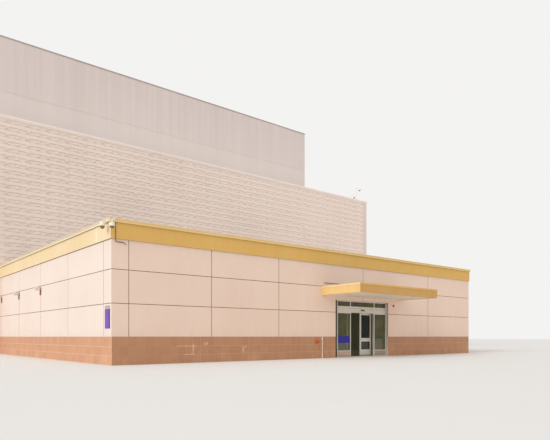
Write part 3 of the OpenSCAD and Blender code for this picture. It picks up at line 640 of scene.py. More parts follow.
class Mesh:
    """Collects the faces of one piece, and makes it."""

    def __init__(self):
        self.vertices = []
        self.faces = []
        self.slots = []

    def add(self, points, faces, slot=0):
        start = len(self.vertices)
        self.vertices += [tuple(p) for p in points]
        self.faces += [[start + i for i in face] for face in faces]
        self.slots += [slot] * len(faces)

    def block(self, low, high, slot=0):
        points = [(x, y, z) for z in (low[2], high[2]) for y in (low[1], high[1]) for x in (low[0], high[0])]
        self.add(points, BLOCK_FACES, slot)

    def raised(self, wall, foot, top, w_foot, w_top, slot=0):
        """A raised plate: its foot outline at w_foot, its top outline at w_top, which may be a list."""
        n = len(foot)
        depths = w_top if isinstance(w_top, list) else [w_top] * n
        points = [wall.at(u, v, w_foot) for u, v in foot]
        points += [wall.at(u, v, w) for (u, v), w in zip(top, depths)]
        sides = [[i, (i + 1) % n, n + (i + 1) % n, n + i] for i in range(n)]
        self.add(points, sides + [list(range(n, 2 * n))], slot)

    def sweep(self, outline, step, slot=0):
        """Pulls a closed outline along a step and closes both ends."""
        self.rings([outline, [Vector(p) + Vector(step) for p in outline]], slot)

    def rings(self, rings, slot=0):
        """Skins a row of rings that have the same number of points, and closes both ends."""
        n = len(rings[0])
        faces = [[j * n + i, j * n + (i + 1) % n, (j + 1) * n + (i + 1) % n, (j + 1) * n + i]
                 for j in range(len(rings) - 1) for i in range(n)]
        last = (len(rings) - 1) * n
        faces += [list(range(n))[::-1], [last + i for i in range(n)]]
        self.add([p for ring in rings for p in ring], faces, slot)

    def lathe(self, at, profile, way=UP, steps=24, slot=0):
        """Turns (radius, height) pairs round the line from a point along a direction."""
        turn = UP.rotation_difference(Vector(way)).to_matrix()
        angles = [2 * math.pi * i / steps for i in range(steps)]
        self.rings([[Vector(at) + turn @ Vector((r * math.cos(a), r * math.sin(a), h)) for a in angles]
                    for r, h in profile], slot)

    def screw(self, at, way, radius, slot):
        profile = [(radius, 0), (radius * 0.9, radius * 0.4), (radius * 0.4, radius * 0.6)]
        self.lathe(at, profile, way, 10, slot)

    def screw_ring(self, centre, u, v, ring, count, way, radius, slot):
        """Screws spread evenly on a circle, which lies across the directions u and v."""
        for i in range(count):
            a = math.pi * (2 * i + 1) / count
            self.screw(centre + (Vector(u) * math.cos(a) + Vector(v) * math.sin(a)) * ring, way, radius, slot)

    def tube(self, path, radius, steps=12, slot=0):
        """A round bar along a path, with flat ends."""
        path = [Vector(p) for p in path]
        ways = [(b - a).normalized() for a, b in zip(path, path[1:])]
        across = ways[0].orthogonal().normalized()
        rings = []
        for i, p in enumerate(path):
            way = (ways[max(i - 1, 0)] + ways[min(i, len(ways) - 1)]).normalized()
            across = (across - way * across.dot(way)).normalized()
            up = way.cross(across)
            rings.append([p + (across * math.cos(a) + up * math.sin(a)) * radius
                          for a in (2 * math.pi * j / steps for j in range(steps))])
        self.rings(rings, slot)

    def gaskets(self, glass):
        """Beads on both faces of each pane of a node, just inside its edges."""
        t = GASKET
        for low, high in solid_boxes(glass):
            for y0, y1 in ((low.y - GASKET_OUT, low.y), (high.y, high.y + GASKET_OUT)):
                self.block((low.x, y0, low.z), (high.x, y1, low.z + t))
                self.block((low.x, y0, high.z - t), (high.x, y1, high.z))
                for x in (low.x, high.x - t):
                    self.block((x, y0, low.z + t), (x + t, y1, high.z - t))

    def make(self, name, keys, slot, replaces=None, body="building", smooth=SMOOTH_ANGLE):
        """Makes the object, gives it its materials and joins it to its body."""
        mesh = bpy.data.meshes.new(name)
        mesh.from_pydata(self.vertices, [], self.faces)
        for key in keys:
            mesh.materials.append(MATERIALS[key])
        mesh.polygons.foreach_set("material_index", self.slots)
        tidy = bmesh.new()
        tidy.from_mesh(mesh)
        bmesh.ops.recalc_face_normals(tidy, faces=tidy.faces)
        tidy.to_mesh(mesh)
        tidy.free()
        if smooth:
            mesh.shade_smooth()
            mesh.set_sharp_from_angle(angle=math.radians(smooth))
        made = placed(name, mesh)
        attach(made, body)
        if replaces:
            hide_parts(replaces)


def rectangle(u0, u1, v0, v1):
    return [(u0, v0), (u1, v0), (u1, v1), (u0, v1)]


def rounded(u0, u1, v0, v1, radius):
    """Outline of a rectangle with rounded corners."""
    points = []
    for k, (u, v) in enumerate(((u1 - radius, v1 - radius), (u0 + radius, v1 - radius),
                                (u0 + radius, v0 + radius), (u1 - radius, v0 + radius))):
        for i in range(CORNER_STEPS + 1):
            a = math.pi / 2 * (k + i / CORNER_STEPS)
            points.append((u + radius * math.cos(a), v + radius * math.sin(a)))
    return points


def arc(centre, start, end):
    """Points on a quarter circle from centre + start to centre + end."""
    turns = [math.pi / 2 * i / ARC_STEPS for i in range(ARC_STEPS + 1)]
    return [Vector(centre) + Vector(start) * math.cos(a) + Vector(end) * math.sin(a) for a in turns]


def dome(radius, height, steps, tip):
    """Profile of a half ball that stands at a height, with a small flat tip."""
    turns = [math.pi / 2 * i / steps for i in range(steps)]
    return [(radius * math.cos(a), height + radius * math.sin(a)) for a in turns] + [(tip, height + radius)]


def solid_boxes(name):
    """The boxes of a node's separate solids, from left to right, from near to far and upwards."""
    mesh = bmesh.new()
    mesh.from_mesh(nodes[name].data)
    bmesh.ops.remove_doubles(mesh, verts=mesh.verts, dist=1e-5)
    left = set(mesh.verts)
    boxes = []
    while left:
        group = [left.pop()]
        for vertex in group:
            for edge in vertex.link_edges:
                other = edge.other_vert(vertex)
                if other in left:
                    left.discard(other)
                    group.append(other)
        points = [nodes[name].matrix_world @ vertex.co for vertex in group]
        boxes.append([Vector([pick(p[axis] for p in points) for axis in range(3)]) for pick in (min, max)])
    mesh.free()
    return sorted(boxes, key=lambda box: [round(value, 3) for value in box[0]])


def seat(name):
    """The middle of a node's back, where it sits on the wall."""
    low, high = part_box(name)
    return Vector(((low.x + high.x) / 2, high.y, (low.z + high.z) / 2))


# Relief of the hall: in each module a long stone, a slanted stone that steps down to it, and short ones
RELIEF_W = 1.28
RELIEF_H = 0.474
RELIEF_DEEP = 0.038
RELIEF_TOP = 0.237
CORNER_STRIP = 0.5
STONE_EDGE = 0.012
STONE_LEAST = 0.004
LEDGE = 0.262
BAND_DEEP = 0.085
BAND_FOOT = 0.04

# Outlines of the stones in one module, how far out the foot and the head of each are, and their bevel
RELIEF_STONES = [
    (rectangle(0.667, 1.747, 0.0, LEDGE), 1.0, 0.6, 0.0),
    ([(0.36, -0.18), (0.667, 0.0), (0.667, LEDGE), (0.467, LEDGE), (0.467, 0.0)], 1.5, 0.6, 0.0),
    ([(0.34, LEDGE), (0.99, LEDGE), (0.98, 0.456), (0.66, 0.445), (0.35, 0.28)], 0.6, 0.05, 0.0),
    ([(1.29, LEDGE), (1.62, LEDGE), (1.6, 0.446), (1.3, 0.456)], 0.6, 0.05, 0.01),
    ([(1.00, 0.285), (1.28, 0.285), (1.26, 0.458), (1.02, 0.458)], 1.5, 0.8, 0.02),
    ([(0.52, 0.285), (0.68, 0.285), (0.68, 0.42), (0.55, 0.36)], 1.5, 0.7, 0.02),
]


def relief_field(m, wall, u_low, u_high, v_low, v_high, v_top):
    """Fills a rectangle of a wall with the relief, whose courses are counted down from v_top."""
    chance = random.Random(11)
    for row in range(math.ceil((v_top - v_low) / RELIEF_H) + 1):
        v0 = v_top - RELIEF_TOP - row * RELIEF_H
        shift = chance.uniform(-0.025, 0.025)
        for column in range(-2, math.ceil(u_high / RELIEF_W) + 1):
            # Hand-cast stones: no two modules are quite alike
            slide = column * RELIEF_W + shift
            deep = RELIEF_DEEP * chance.uniform(0.92, 1.0)
            for outline, foot_out, head_out, bevel in RELIEF_STONES:
                foot = min(b for a, b in outline)
                head = max(b for a, b in outline)
                own = chance.uniform(0.75, 1.0) if bevel else 1
                cut = []
                for a, b in outline:
                    point = (min(max(slide + a, u_low), u_high), min(max(v0 + b, v_low), v_high))
                    if point not in cut:
                        cut.append(point)
                area = sum(a[0] * b[1] - b[0] * a[1] for a, b in zip(cut, cut[1:] + cut[:1])) / 2
                if len(cut) < 3 or area < STONE_LEAST:
                    continue
                middle = [sum(values) / len(cut) for values in zip(*cut)]
                top = [(u + math.copysign(min(bevel, abs(middle[0] - u)), middle[0] - u),
                        v - (STONE_EDGE if v > middle[1] else 0)) for u, v in cut]
                out = [deep * own * (foot_out + (head_out - foot_out) * (v - v0 - foot) / (head - foot))
                       for u, v in top]
                m.raised(wall, cut, top, 0, out)


def hall_relief():
    """The relief, plain strips at the corners and a plain band under the coping, on each side of the hall."""
    (left, near, _), (right, _, top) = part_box("hall_front_upper")
    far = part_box("hall_side_walls")[1].y
    wing_left, wing_right = (corner.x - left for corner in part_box("side_wainscot"))
    wing_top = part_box("wing_roof")[1].z - 0.1
    coping_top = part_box("hall_coping")[1].z
    band = coping_top - RELIEF_TOP
    width = right - left
    depth = far - near
    for name, corner, side, length in (("relief_front", (left, near, 0), FRONT, width),
                                       ("relief_back", (right, far, 0), BACK, width),
                                       ("relief_left", (left, far, 0), LEFT, depth),
                                       ("relief_right", (right, near, 0), RIGHT, depth)):
        m = Mesh()
        wall = Wall(corner, side)
        start = CORNER_STRIP
        end = length - CORNER_STRIP
        fields = [(start, end, 0, band)]
        if side is FRONT:
            # The wing's own walls hide what is under its roof
            fields = [(start, end, wing_top, band), (start, wing_left, 0, wing_top),
                      (wing_right, end, 0, wing_top)]
        for field in fields:
            relief_field(m, wall, *field, coping_top)
        # The left and right sides reach round the corners, to the outer planes of the front and the back
        wraps = side in (LEFT, RIGHT)
        for u0, u1 in ((-RELIEF_DEEP * wraps, start), (end, length + RELIEF_DEEP * wraps)):
            outline = rectangle(u0, u1, 0, band)
            m.raised(wall, outline, outline, 0, RELIEF_DEEP, 1)
        # The band is flush with the coping at the top and leans in towards its foot
        head = BAND_DEEP * wraps
        foot = BAND_FOOT * wraps
        outline = [(-foot, band), (length + foot, band), (length + head, top), (-head, top)]
        m.raised(wall, outline, outline, 0, [BAND_FOOT] * 2 + [BAND_DEEP] * 2, 2)
        m.make(name, ["relief_facing", "plain_corner", "coping_apron"], "relief", smooth=0)


# Wainscot: joints, how far the tiles stand out of them, their bevel, and the narrowest strip that is laid
GROUT = 0.01
BED_GROUT = 0.013
TILE_FACE = 0.004
TILE_EDGE = 0.002
TILE_LEAST = 0.03


def tiled(name, node, faces, thick):
    """Tiles in line over a bed of grout, on faces (wall, length, first joint), in place of a CAD node."""
    m = Mesh()
    levels = [0, *TILE_ROWS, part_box(node)[1].z]
    for wall, length, first in faces:
        joints = [0] + [first + i * TILE for i in range(math.ceil((length - first) / TILE))] + [length]
        joints = [u for u in joints if u in (0, length) or TILE_LEAST < u < length - TILE_LEAST]
        ends = list(zip(wall.at(0, 0, -thick), wall.at(length, levels[-1], -TILE_FACE)))
        m.block([min(pair) for pair in ends], [max(pair) for pair in ends], 1)
        for left, right in zip(joints, joints[1:]):
            for low, high in zip(levels, levels[1:]):
                foot, top = (rectangle(left + GROUT / 2 + edge, right - GROUT / 2 - edge,
                                       low + BED_GROUT / 2 + edge, high - BED_GROUT / 2 - edge)
                             for edge in (0, TILE_EDGE))
                m.raised(wall, foot, top, -TILE_FACE, 0)
    m.make(name, ["wainscot_tile", "grout"], "tile", node, smooth=0)


def wainscots():
    low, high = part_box("front_wainscot")
    side_low, side_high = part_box("side_wainscot")
    store_low, store_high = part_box("storefront_frame")
    thick = high.y - low.y
    tiled("wainscot_front_tiles", "front_wainscot",
          [(Wall((x0, low.y, 0), FRONT), x1 - x0, (side_low.x - x0 + TILE_FIRST) % TILE)
           for x0, x1 in ((low.x, store_low.x), (store_high.x, high.x))], thick)
    length = side_high.y - side_low.y
    tiled("wainscot_side_tiles", "side_wainscot",
          [(Wall((side_low.x, side_high.y, 0), LEFT), length, (length - TILE_FIRST) % TILE),
           (Wall((side_high.x, side_low.y, 0), RIGHT), length, TILE_FIRST)], thick)


# Dome cameras
ARM_R = 0.018
ARM_BEND = 0.045
PIVOT_OUT = 0.028
DOME_R = 0.0935
DOME_FOOT = 0.158
KNUCKLE = [(0.021, 0), (0.026, 0.005), (0.026, 0.043), (0.021, 0.048)]
HOUSING = [(0.034, -0.008), (0.062, 0.003), (0.094, 0.02), (0.107, 0.042), (0.11, 0.07), (0.11, 0.138),
           (0.114, 0.142), (0.114, 0.155), (0.1, 0.16)]
CAMERA_KEYS = ["white_housing", "smoked_dome", "steel"]
BOX_OUT = 0.08
BOX_Z = (5.565, 5.675)
CORNER_CAMERA_Z = 5.62
ARM_BELOW_TOP = 0.05
# Posts on the hall's roof: from its right side, back from its front, height, and the camera's way
ROOF_POSTS = [(1.71, 0.2, 0.5, (0, -1, 0)), (0.88, 0.2, 1.4, (0, -1, 0)), (0.2, 0.5, 0.32, (1, 0, 0))]


def dome_camera(m, at, way, reach, drop, swing=0, skirt=0.0):
    """Camera on a bent arm: plate with screws, knuckle, arm, collar, housing and smoked dome."""
    at = Vector(at)
    way = Vector(way)
    m.lathe(at, [(0.038, 0), (0.038, 0.013), (0.032, 0.018)], way)
    m.screw_ring(at + way * 0.014, way.cross(DOWN), DOWN, 0.031, 4, way, 0.004, 2)
    pivot = at + way * PIVOT_OUT
    m.lathe(pivot - DOWN * 0.024, KNUCKLE, DOWN, 20)
    arm = Matrix.Rotation(math.radians(swing), 3, "Z") @ way
    end = pivot + arm * (reach - PIVOT_OUT)
    head = end + DOWN * drop
    bend = arc(end + (DOWN - arm) * ARM_BEND, -DOWN * ARM_BEND, arm * ARM_BEND)
    m.tube([pivot, *bend, head], ARM_R, 14)
    m.lathe(head - DOWN * 0.034, [(0.024, 0), (0.03, 0.004), (0.03, 0.028)], DOWN, 20)
    m.lathe(head, HOUSING, DOWN, 28)
    m.lathe(head, [(DOME_R, 0.156)] + dome(DOME_R, DOME_FOOT + skirt, 9, 0.004), DOWN, 28, 1)


def corner_cameras():
    """Two cameras on back boxes at the wing's front left corner."""
    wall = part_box("front_panels")[0]
    left = wall.x - BOX_OUT
    front = wall.y - BOX_OUT
    m = Mesh()
    dome_camera(m, (left, wall.y + 0.2, CORNER_CAMERA_Z), (-1, 0, 0), 0.2, 0.075, 0, 0.02)
    dome_camera(m, (wall.x + 0.05, front, CORNER_CAMERA_Z), OUT, 0.26, 0.13, -38)
    for x0, x1, y0, y1 in ((left - 0.05, left, wall.y + 0.06, wall.y + 0.36),
                           (wall.x - 0.01, wall.x + 0.11, front - 0.04, front)):
        m.block((x0, y0, BOX_Z[0]), (x1, y1, BOX_Z[1]))
    m.make("corner_camera_set", CAMERA_KEYS, "camera_white", "corner_cameras")


def roof_cameras():
    low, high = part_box("hall_side_walls")
    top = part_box("hall_coping")[1].z
    m = Mesh()
    for from_right, back, height, way in ROOF_POSTS:
        foot = Vector((high.x - from_right, low.y + back, top))
        m.lathe(foot, [(0.09, 0), (0.09, 0.014), (0.084, 0.02)], steps=28)
        m.lathe(foot, [(0.042, 0.01), (0.042, 0.05), (0.032, 0.06)], steps=20)
        m.lathe(foot, [(0.03, 0.02), (0.03, height - 0.004), (0.024, height)], steps=20)
        m.screw_ring(foot + UP * 0.02, (1, 0, 0), (0, 1, 0), 0.068, 4, UP, 0.009, 2)
        dome_camera(m, foot + UP * (height - ARM_BELOW_TOP), way, 0.46, 0.1)
    m.make("roof_camera_set", CAMERA_KEYS, "camera_white", "roof_cameras")


# Wall lights: side view of the head, out from the wall and up from its foot, and its measures
HEAD = [(-0.055, 0.0), (-0.055, 0.152), (-0.066, 0.16), (-0.212, 0.16), (-0.224, 0.156), (-0.296, 0.078),
        (-0.3, 0.066), (-0.3, 0.026), (-0.294, 0.016), (-0.272, 0.0)]
HEAD_H = 0.16
HEAD_HALF = 0.13
HEAD_CAP = 0.004
BACK_PLATE = 0.034
BACK_PLATE_EDGE = 0.006


def wall_lights():
    """Wedge heads with a lens below, on dark back plates whose dark paint is partly a painted shadow of the
    heads.
    """
    m = Mesh()
    for low, high in solid_boxes("wall_lights"):
        wall = high.x
        mid = (low.y + high.y) / 2
        top = high.z
        base = top - HEAD_H
        # Back plate with a bevelled edge and four screws, dark partly as a painted shadow of the head
        plate = Wall((wall, mid, 0), LEFT)
        face = BACK_PLATE + BACK_PLATE_EDGE
        outline = rounded(-0.06, 0.06, low.z, top - 0.03, 0.012)
        inset = rounded(-0.054, 0.054, low.z + BACK_PLATE_EDGE, top - 0.03 - BACK_PLATE_EDGE, 0.008)
        m.raised(plate, outline, outline, 0, BACK_PLATE)
        m.raised(plate, outline, inset, BACK_PLATE, face)
        for u in (-0.042, 0.042):
            for v in (low.z + 0.02, low.z + 0.2):
                m.screw(plate.at(u, v, face), plate.out, 0.006, 3)
        # Short neck, head with its end caps, lens frame and lens
        m.block((wall - 0.07, mid - 0.035, base + 0.03), (wall - 0.03, mid + 0.035, top - 0.045))
        for start, wide in ((-HEAD_HALF, 2 * HEAD_HALF), (-HEAD_HALF - HEAD_CAP, HEAD_CAP),
                            (HEAD_HALF, HEAD_CAP)):
            m.sweep([(wall + x, mid + start, base + z) for x, z in HEAD], (0, wide, 0), 1)
        m.block((wall - 0.262, mid - 0.112, base - 0.006), (wall - 0.075, mid + 0.112, base))
        m.block((wall - 0.25, mid - 0.1, base - 0.009), (wall - 0.087, mid + 0.1, base - 0.006), 2)
    keys = ["bronze_and_shadow_paint", "lamp_paint", "frosted_lens", "steel"]
    m.make("wall_light_set", keys, "lamp", "wall_lights")


# Conduit: its line down the fascia, its radius, where it turns to the wall, and its level run
CONDUIT_X = -14.365
CONDUIT_R = 0.014
CONDUIT_TURN_Z = 4.93
CONDUIT_RUN_Z = 4.805
CLIP_W = 0.018
CLIP_HALF = 0.034


def conduit():
    """Bent tube down the fascia and along the wall, held by saddle clips."""
    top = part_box("camera_conduit")[1].z
    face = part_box("fascia")[0].y
    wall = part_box("front_panels")[0].y
    x, r, turn, run = CONDUIT_X, CONDUIT_R, CONDUIT_TURN_Z, CONDUIT_RUN_Z
    down_y = face - r
    run_y = wall - r - 0.004
    path = [(x, down_y, top), (x, down_y, turn + 0.06), (x, down_y - 0.001, turn),
            (x + 0.004, down_y + 0.006, turn - 0.03), (x + 0.012, run_y - 0.01, turn - 0.07)]
    path += arc((x + 0.066, run_y, run + 0.05), (-0.05, 0, 0), (0, 0, -0.05))
    path += [(x + 0.3, run_y, run)]
    path += arc((x + 0.32, run_y, run - 0.06), (0, 0, 0.06), (0.06, 0, 0))[:4]
    last = Vector(path[-1])
    path += [last + Vector((0.07, 0, -0.04)), last + Vector((0.09, 0.008, -0.052))]
    m = Mesh()
    m.tube(path, r)
    saddle = [(r + 0.003, 0), (r + 0.003, CLIP_W)]
    for z in (5.4, 5.15):
        m.block((x - CLIP_HALF, face - 0.003, z), (x + CLIP_HALF, face, z + CLIP_W), 1)
        m.lathe((x, down_y, z), saddle, UP, 12, 1)
    for clip_x in (x + 0.14, x + 0.26):
        m.block((clip_x, wall - 0.006, run - CLIP_HALF), (clip_x + CLIP_W, wall, run + CLIP_HALF), 1)
        m.lathe((clip_x, run_y, run), saddle, (1, 0, 0), 12, 1)
    # Coupling at its upper end
    m.lathe((x, down_y, top - 0.03), [(r + 0.005, 0), (r + 0.005, 0.03)], UP, 12)
    m.make("conduit_run", ["conduit_paint", "steel"], "flashing", "camera_conduit")


# Hose connection: neck and cap, as (radius, way out) pairs, where the lugs start, and the chain
NECK = [(0.044, 0.01), (0.044, 0.022), (0.036, 0.03), (0.034, 0.078), (0.04, 0.084), (0.04, 0.094)]
HOSE_CAP = [(0.046, 0.092), (0.048, 0.096), (0.048, 0.112), (0.043, 0.119), (0.016, 0.122)]
LUG_FROM = 0.098
CHAIN_LINKS = 10
CHAIN_SAG = 0.05


def hose_connection():
    """Wall plate, two necks with lugged caps, and a chain from each cap to the plate."""
    low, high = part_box("hose_connection")
    centre = seat("hose_connection")
    r = (high.x - low.x) / 2 + 0.03
    across, up = Vector((1, 0, 0)), UP
    m = Mesh()
    rose = [(r, 0), (r, 0.009), (r - 0.006, 0.013), (r - 0.03, 0.013), (r - 0.036, 0.01)]
    m.lathe(centre, rose, OUT, 40)
    m.screw_ring(centre + OUT * 0.013, across, up, r - 0.016, 6, OUT, 0.007, 1)
    necks = [centre + across * side * r * 0.44 for side in (-1, 1)]
    for at in necks:
        m.lathe(at, NECK, OUT, 28)
        m.lathe(at, HOSE_CAP, OUT, 28, 2)
        for i in range(3):
            a = 2 * math.pi * i / 3 + 0.5
            way = across * math.cos(a) + up * math.sin(a)
            half = way.cross(OUT) * 0.007
            foot = at + OUT * LUG_FROM + way * 0.044
            m.sweep([foot - half, foot + half, foot + half + way * 0.016, foot - half + way * 0.016],
                    OUT * 0.014, 2)
    ring = centre + OUT * 0.02 + DOWN * r * 0.5
    for at in necks:
        shares = [i / CHAIN_LINKS for i in range(CHAIN_LINKS + 1)]
        chain = [(at + OUT * HOSE_CAP[-1][1]).lerp(ring, share) + DOWN * CHAIN_SAG * math.sin(math.pi * share)
                 for share in shares]
        m.tube(chain, 0.0025, 6, 1)
    m.make("hose_connection_set", ["red_paint", "steel", "worn_brass"], "red_metal", "hose_connection")


def alarm():
    """Gong on a back box, with the nut that holds it."""
    centre = seat("alarm")
    m = Mesh()
    m.lathe(centre, [(0.05, 0), (0.05, 0.016), (0.046, 0.02)], OUT, 28, 1)
    m.lathe(centre, [(0.069, 0.016), (0.075, 0.016), (0.075, 0.022), (0.072, 0.03), (0.062, 0.04),
                     (0.042, 0.047), (0.014, 0.05)], OUT, 36)
    m.lathe(centre, [(0.01, 0.048), (0.01, 0.056), (0.006, 0.058)], OUT, 6, 1)
    m.make("alarm_gong", ["alarm_paint", "steel"], "red_metal", "alarm")


def service_pipe():
    """Pipe with a domed cap, a coupling and two straps."""
    low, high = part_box("service_pipe")
    r = (high.x - low.x) / 2
    x, y = (low.x + high.x) / 2, high.y - r
    top = high.z - r
    strap = 0.022
    m = Mesh()
    shaft = [(r - 0.001, 0), (r - 0.001, top - 0.05), (r, top - 0.05)]
    m.lathe((x, y, 0), shaft + dome(r, top, 6, 0.002))
    m.lathe((x, y, 0.16), [(r, 0), (r + 0.005, 0.004), (r + 0.005, 0.056), (r, 0.06)])
    for z in (0.38, 0.86):
        m.lathe((x, y, z), [(r + 0.002, 0), (r + 0.002, strap)], slot=1)
        m.block((x - r - 0.026, high.y - 0.003, z), (x + r + 0.026, high.y, z + strap), 1)
        for side in (-1, 1):
            m.screw((x + side * (r + 0.016), high.y - 0.003, z + strap / 2), OUT, 0.005, 1)
    m.make("service_pipe_run", ["pipe_paint", "steel"], "pale_pipe", "service_pipe")


# Plates: bevel, film, pale head and dark edge strip (painted shade) of the screwed one, and its screws from
# the edges
PLATE_EDGE = 0.002
PLATE_FILM = 0.003
PLATE_RIM = 0.006
PLATE_HEAD = 0.14
PLATE_SHADE = 0.11
PLATE_SCREW = 0.03


def plates():
    """Bare enamelled plates with rounded corners: one screwed to the left wall, one stuck on the glass."""
    m = Mesh()
    for (low, high), side in zip(solid_boxes("sign_plates"), (LEFT, FRONT)):
        screwed = side is LEFT
        size = high - low
        wide = max(size.x, size.y)
        thick = min(size.x, size.y)
        wall = Wall((high.x if screwed else low.x, high.y, low.z), side)
        outline = rounded(0, wide, 0, size.z, 0.022)
        inset = rounded(PLATE_EDGE, wide - PLATE_EDGE, PLATE_EDGE, size.z - PLATE_EDGE, 0.02)
        sheet = 2 if screwed else 0
        m.raised(wall, outline, outline, 0, thick - PLATE_EDGE, sheet)
        m.raised(wall, outline, inset, thick - PLATE_EDGE, thick, sheet)
        if screwed:
            top = size.z - PLATE_HEAD
            split = wide - PLATE_SHADE
            # The dark strip at the film's right end is painted shade
            for u0, u1, slot in ((PLATE_RIM, split, 0), (split, wide - PLATE_RIM, 3)):
                face = rounded(u0, u1, PLATE_RIM, top, 0.004)
                m.raised(wall, face, face, thick, thick + PLATE_FILM, slot)
            for u in (PLATE_SCREW, wide - PLATE_SCREW):
                for v in (PLATE_SCREW, size.z / 2, size.z - PLATE_SCREW):
                    m.screw(wall.at(u, v, thick + (PLATE_FILM if v < top else 0)), wall.out, 0.007, 1)
    keys = ["blue_plate", "steel", "plate_backing", "plate_shade_strip"]
    m.make("bare_plates", keys, "plate_blue", "sign_plates")


# Storefront: width and depth of the gaskets, the filler's width, a jamb, the threshold's ribs, and the locks
GASKET = 0.009
GASKET_OUT = 0.008
FILLER_W = 0.28
JAMB = 0.05
RIB_FROM = 0.045
RIB_STEP = 0.022
LOCK_Z = 0.94


def storefront():
    """Filler cover in painted shade, kick covers, glazing gaskets and threshold ribs."""
    low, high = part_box("storefront_frame")
    doors_low, doors_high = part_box("door_saddle")
    # The filler ends where the frame's left jamb begins
    filler_x = low.x + FILLER_W
    # The filler cover's dark sheet is painted shade, cast by the wall's corner on this strip of the frame
    filler = Mesh()
    filler.block((low.x, 0.034, low.z), (filler_x, 0.04, high.z))
    filler.make("filler_cover", ["filler_shade_sheet"], "frame_metal", smooth=0)
    kicks = Mesh()
    for x0, x1 in ((filler_x, doors_low.x), (doors_high.x, high.x)):
        kicks.block((x0 + JAMB + 0.006, 0.021, low.z + 0.008), (x1 - JAMB - 0.006, 0.025, low.z + 0.272))
    kicks.make("kick_covers", ["kick_panel"], "frame_metal", smooth=0)
    beads = Mesh()
    beads.gaskets("storefront_glass")
    beads.make("storefront_gaskets", ["rubber"], "sensor_dark", smooth=0)
    ribs = Mesh()
    top = doors_high.z
    for i in range(7):
        y = RIB_FROM + i * RIB_STEP
        ribs.block((doors_low.x + 0.01, y, top - 0.002), (doors_high.x - 0.01, y + 0.008, top + 0.0025))
    ribs.make("threshold_ribs", ["steel"], "frame_metal", smooth=0)


def leaves():
    """Glazing gaskets, a wear strip along the foot and the lock of each leaf; they move with it."""
    for side in ("left", "right"):
        m = Mesh()
        m.gaskets(side + "_door_glass")
        low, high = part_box(side + "_door_frame")
        face = solid_boxes(side + "_door_glass")[0][0].y - 0.0175
        m.block((low.x + 0.004, face - 0.0015, low.z), (high.x - 0.004, face, low.z + 0.014))
        # The lock is in the meeting stile
        lock = (high.x - JAMB if side == "left" else low.x + JAMB, face, LOCK_Z)
        m.lathe(lock, [(0.021, 0), (0.021, 0.003), (0.018, 0.005)], OUT, 20, 1)
        m.lathe(lock, [(0.008, 0.004), (0.008, 0.006)], OUT, 12)
        m.make(side + "_leaf_trim", ["rubber", "steel"], "sensor_dark", body=side + "_door")


def header():
    """Cover seam, screws, and the sensor's window and cheeks."""
    low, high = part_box("door_header")
    sensor_low, sensor_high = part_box("door_sensor")
    m = Mesh()
    z = low.z + 0.235
    m.block((low.x + 0.01, low.y - 0.003, z), (high.x - 0.01, low.y, z + 0.005), 1)
    for x in (low.x + 0.03, low.x + 1.3, high.x - 1.3, high.x - 0.03):
        m.screw((x, low.y, low.z + 0.262), OUT, 0.006, 2)
    front = sensor_low.y + 0.012
    m.block((sensor_low.x + 0.03, sensor_low.y - 0.003, sensor_low.z + 0.016),
                  (sensor_high.x - 0.03, front, sensor_low.z + 0.04))
    for x in (sensor_low.x - 0.004, sensor_high.x):
        m.block((x, front, sensor_low.z), (x + 0.004, sensor_high.y, sensor_high.z), 1)
    m.make("header_trim", ["smoked_dome", "rubber", "steel"], "sensor_dark")


# Canopy trim: thickness, reach over the deck, depth, and the drip under it
TRIM = 0.008
TRIM_IN = 0.07
TRIM_H = 0.085
TRIM_OVER = 0.004
DRIP_H = 0.008


def canopy_trim():
    """Paler folded trim along the canopy's top edge, with a drip in the canopy's own paint under it."""
    low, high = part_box("canopy_fascia")
    foot, head = high.z - TRIM_H, high.z + TRIM_OVER
    folded = [(TRIM, foot), (TRIM, head), (-TRIM_IN, head), (-TRIM_IN, high.z), (0, high.z), (0, foot)]
    drip = [(TRIM + 0.004, foot - DRIP_H), (TRIM + 0.004, foot), (0, foot), (0, foot - DRIP_H)]
    corners = (low.x, high.y, -1, 0), (low.x, low.y, -1, -1), (high.x, low.y, 1, -1), (high.x, high.y, 1, 0)
    m = Mesh()
    for slot, profile in enumerate((folded, drip)):
        rings = [[(x + out_x * u, y + out_y * u, z) for u, z in profile] for x, y, out_x, out_y in corners]
        m.rings(rings, slot)
    m.make("canopy_top_trim", ["gold_canopy_trim", "gold_canopy"], "gold_paint", smooth=0)


# Painted shadow line under the fascia, and the cover plate over its joint
SHADOW_LINE_OUT = 0.008
SHADOW_LINE_H = 0.016
SPLICE_Y = (1.18, 1.38)


def fascia_shadow_line():
    """Dark strip under the fascia, on the two sides: a painted shadow line."""
    low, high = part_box("front_panels")
    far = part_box("side_panels")[1].y
    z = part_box("fascia")[0].z
    outline = rectangle(0, far - low.y, -SHADOW_LINE_H, 0)
    m = Mesh()
    for wall in (Wall((low.x, far, z), LEFT), Wall((high.x, low.y, z), RIGHT)):
        m.raised(wall, outline, outline, 0, SHADOW_LINE_OUT)
    m.make("fascia_shadow_line", ["fascia_shadow_paint"], "sensor_dark", smooth=0)


def fascia_splice():
    """Cover plate over the joint in the left fascia."""
    low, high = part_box("fascia")
    m = Mesh()
    m.block((low.x - 0.002, SPLICE_Y[0], low.z + 0.014), (low.x, SPLICE_Y[1], high.z - 0.1))
    m.make("fascia_splice_cover", ["fascia_splice"], "gold_paint", smooth=0)


# Light and surroundings
PALE = (0.9, 0.895, 0.885, 1)
WORLD_COLOUR = (1.0, 0.985, 0.97, 1)
WORLD_LIGHT = 0.82
GLOSS_LIGHT = 0.2
SUN_LIGHT = 1.55
SUN_COLOUR = (1.0, 0.985, 0.96)
SUN_FROM = Vector((-0.85, -0.1, 0.52))
SUN_ANGLE = math.radians(30)
SHOP_LIGHT = 85
SHOP_COLOUR = (0.88, 1.0, 0.66)
SHOP_LIGHT_AT = (1.0, 8.0, 4.9)
SHOP_LIGHT_SIZE = (8, 5)
GROUND_TONES = (0.8, 0.79, 0.77, 1), (0.77, 0.76, 0.74, 1)
GROUND_HALF = 200


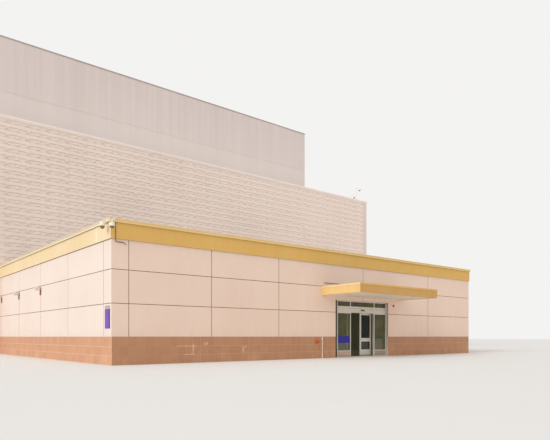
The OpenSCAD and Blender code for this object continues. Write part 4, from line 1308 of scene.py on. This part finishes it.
def make_world():
    """Pale to the camera and through glass, dimmer in gloss; a plain soft light otherwise."""
    world = bpy.data.worlds.new("world")
    bpy.context.scene.world = world
    world.use_nodes = True
    tree = world.node_tree
    tree.nodes.clear()

    def background(colour, strength):
        made = tree.nodes.new("ShaderNodeBackground")
        made.inputs["Color"].default_value = colour
        made.inputs["Strength"].default_value = strength
        return made.outputs[0]

    path = tree.nodes.new("ShaderNodeLightPath")
    shown = background(WORLD_COLOUR, WORLD_LIGHT)
    for ray, strength in (("Is Glossy Ray", GLOSS_LIGHT), ("Is Transmission Ray", 1.0),
                          ("Is Camera Ray", 1.0)):
        mix = tree.nodes.new("ShaderNodeMixShader")
        tree.links.new(path.outputs[ray], mix.inputs[0])
        tree.links.new(shown, mix.inputs[1])
        tree.links.new(background(PALE, strength), mix.inputs[2])
        shown = mix.outputs[0]
    out = tree.nodes.new("ShaderNodeOutputWorld")
    tree.links.new(shown, out.inputs["Surface"])


def make_lamp(name, kind, energy, colour):
    data = bpy.data.lights.new(name, kind)
    data.energy = energy
    data.color = colour
    return placed(name, data)


def make_lights():
    """A soft sun, and a dim light inside the wing, so that the doorway doesn't show a black hole."""
    sun = make_lamp("key", "SUN", SUN_LIGHT, SUN_COLOUR)
    sun.data.angle = SUN_ANGLE
    sun.rotation_mode = "QUATERNION"
    sun.rotation_quaternion = SUN_FROM.to_track_quat("Z", "Y")
    shop = make_lamp("shop", "AREA", SHOP_LIGHT, SHOP_COLOUR)
    shop.data.shape = "RECTANGLE"
    shop.data.size, shop.data.size_y = SHOP_LIGHT_SIZE
    shop.location = SHOP_LIGHT_AT


def make_ground():
    s = Shader("ground")
    s.finish(s.fade(*GROUND_TONES, s.noise(2.5, 3), 0.3, 0.7, 0.3), 0.9)
    mesh = bpy.data.meshes.new("ground")
    outline = rectangle(-GROUND_HALF, GROUND_HALF, -GROUND_HALF, GROUND_HALF)
    mesh.from_pydata([(x, y, 0) for x, y in outline], [], [[0, 1, 2, 3]])
    mesh.materials.append(s.material)
    ground = placed("ground", mesh)
    ground.location.z = cad_low.z - 0.002


for step in (make_camera, make_materials, dress_nodes, hall_relief, wainscots, corner_cameras, roof_cameras,
             wall_lights, conduit, hose_connection, alarm, service_pipe, plates, storefront, leaves, header,
             canopy_trim, fascia_shadow_line, fascia_splice, make_world, make_lights, make_ground):
    step()

bpy.context.scene.view_settings.view_transform = "Standard"
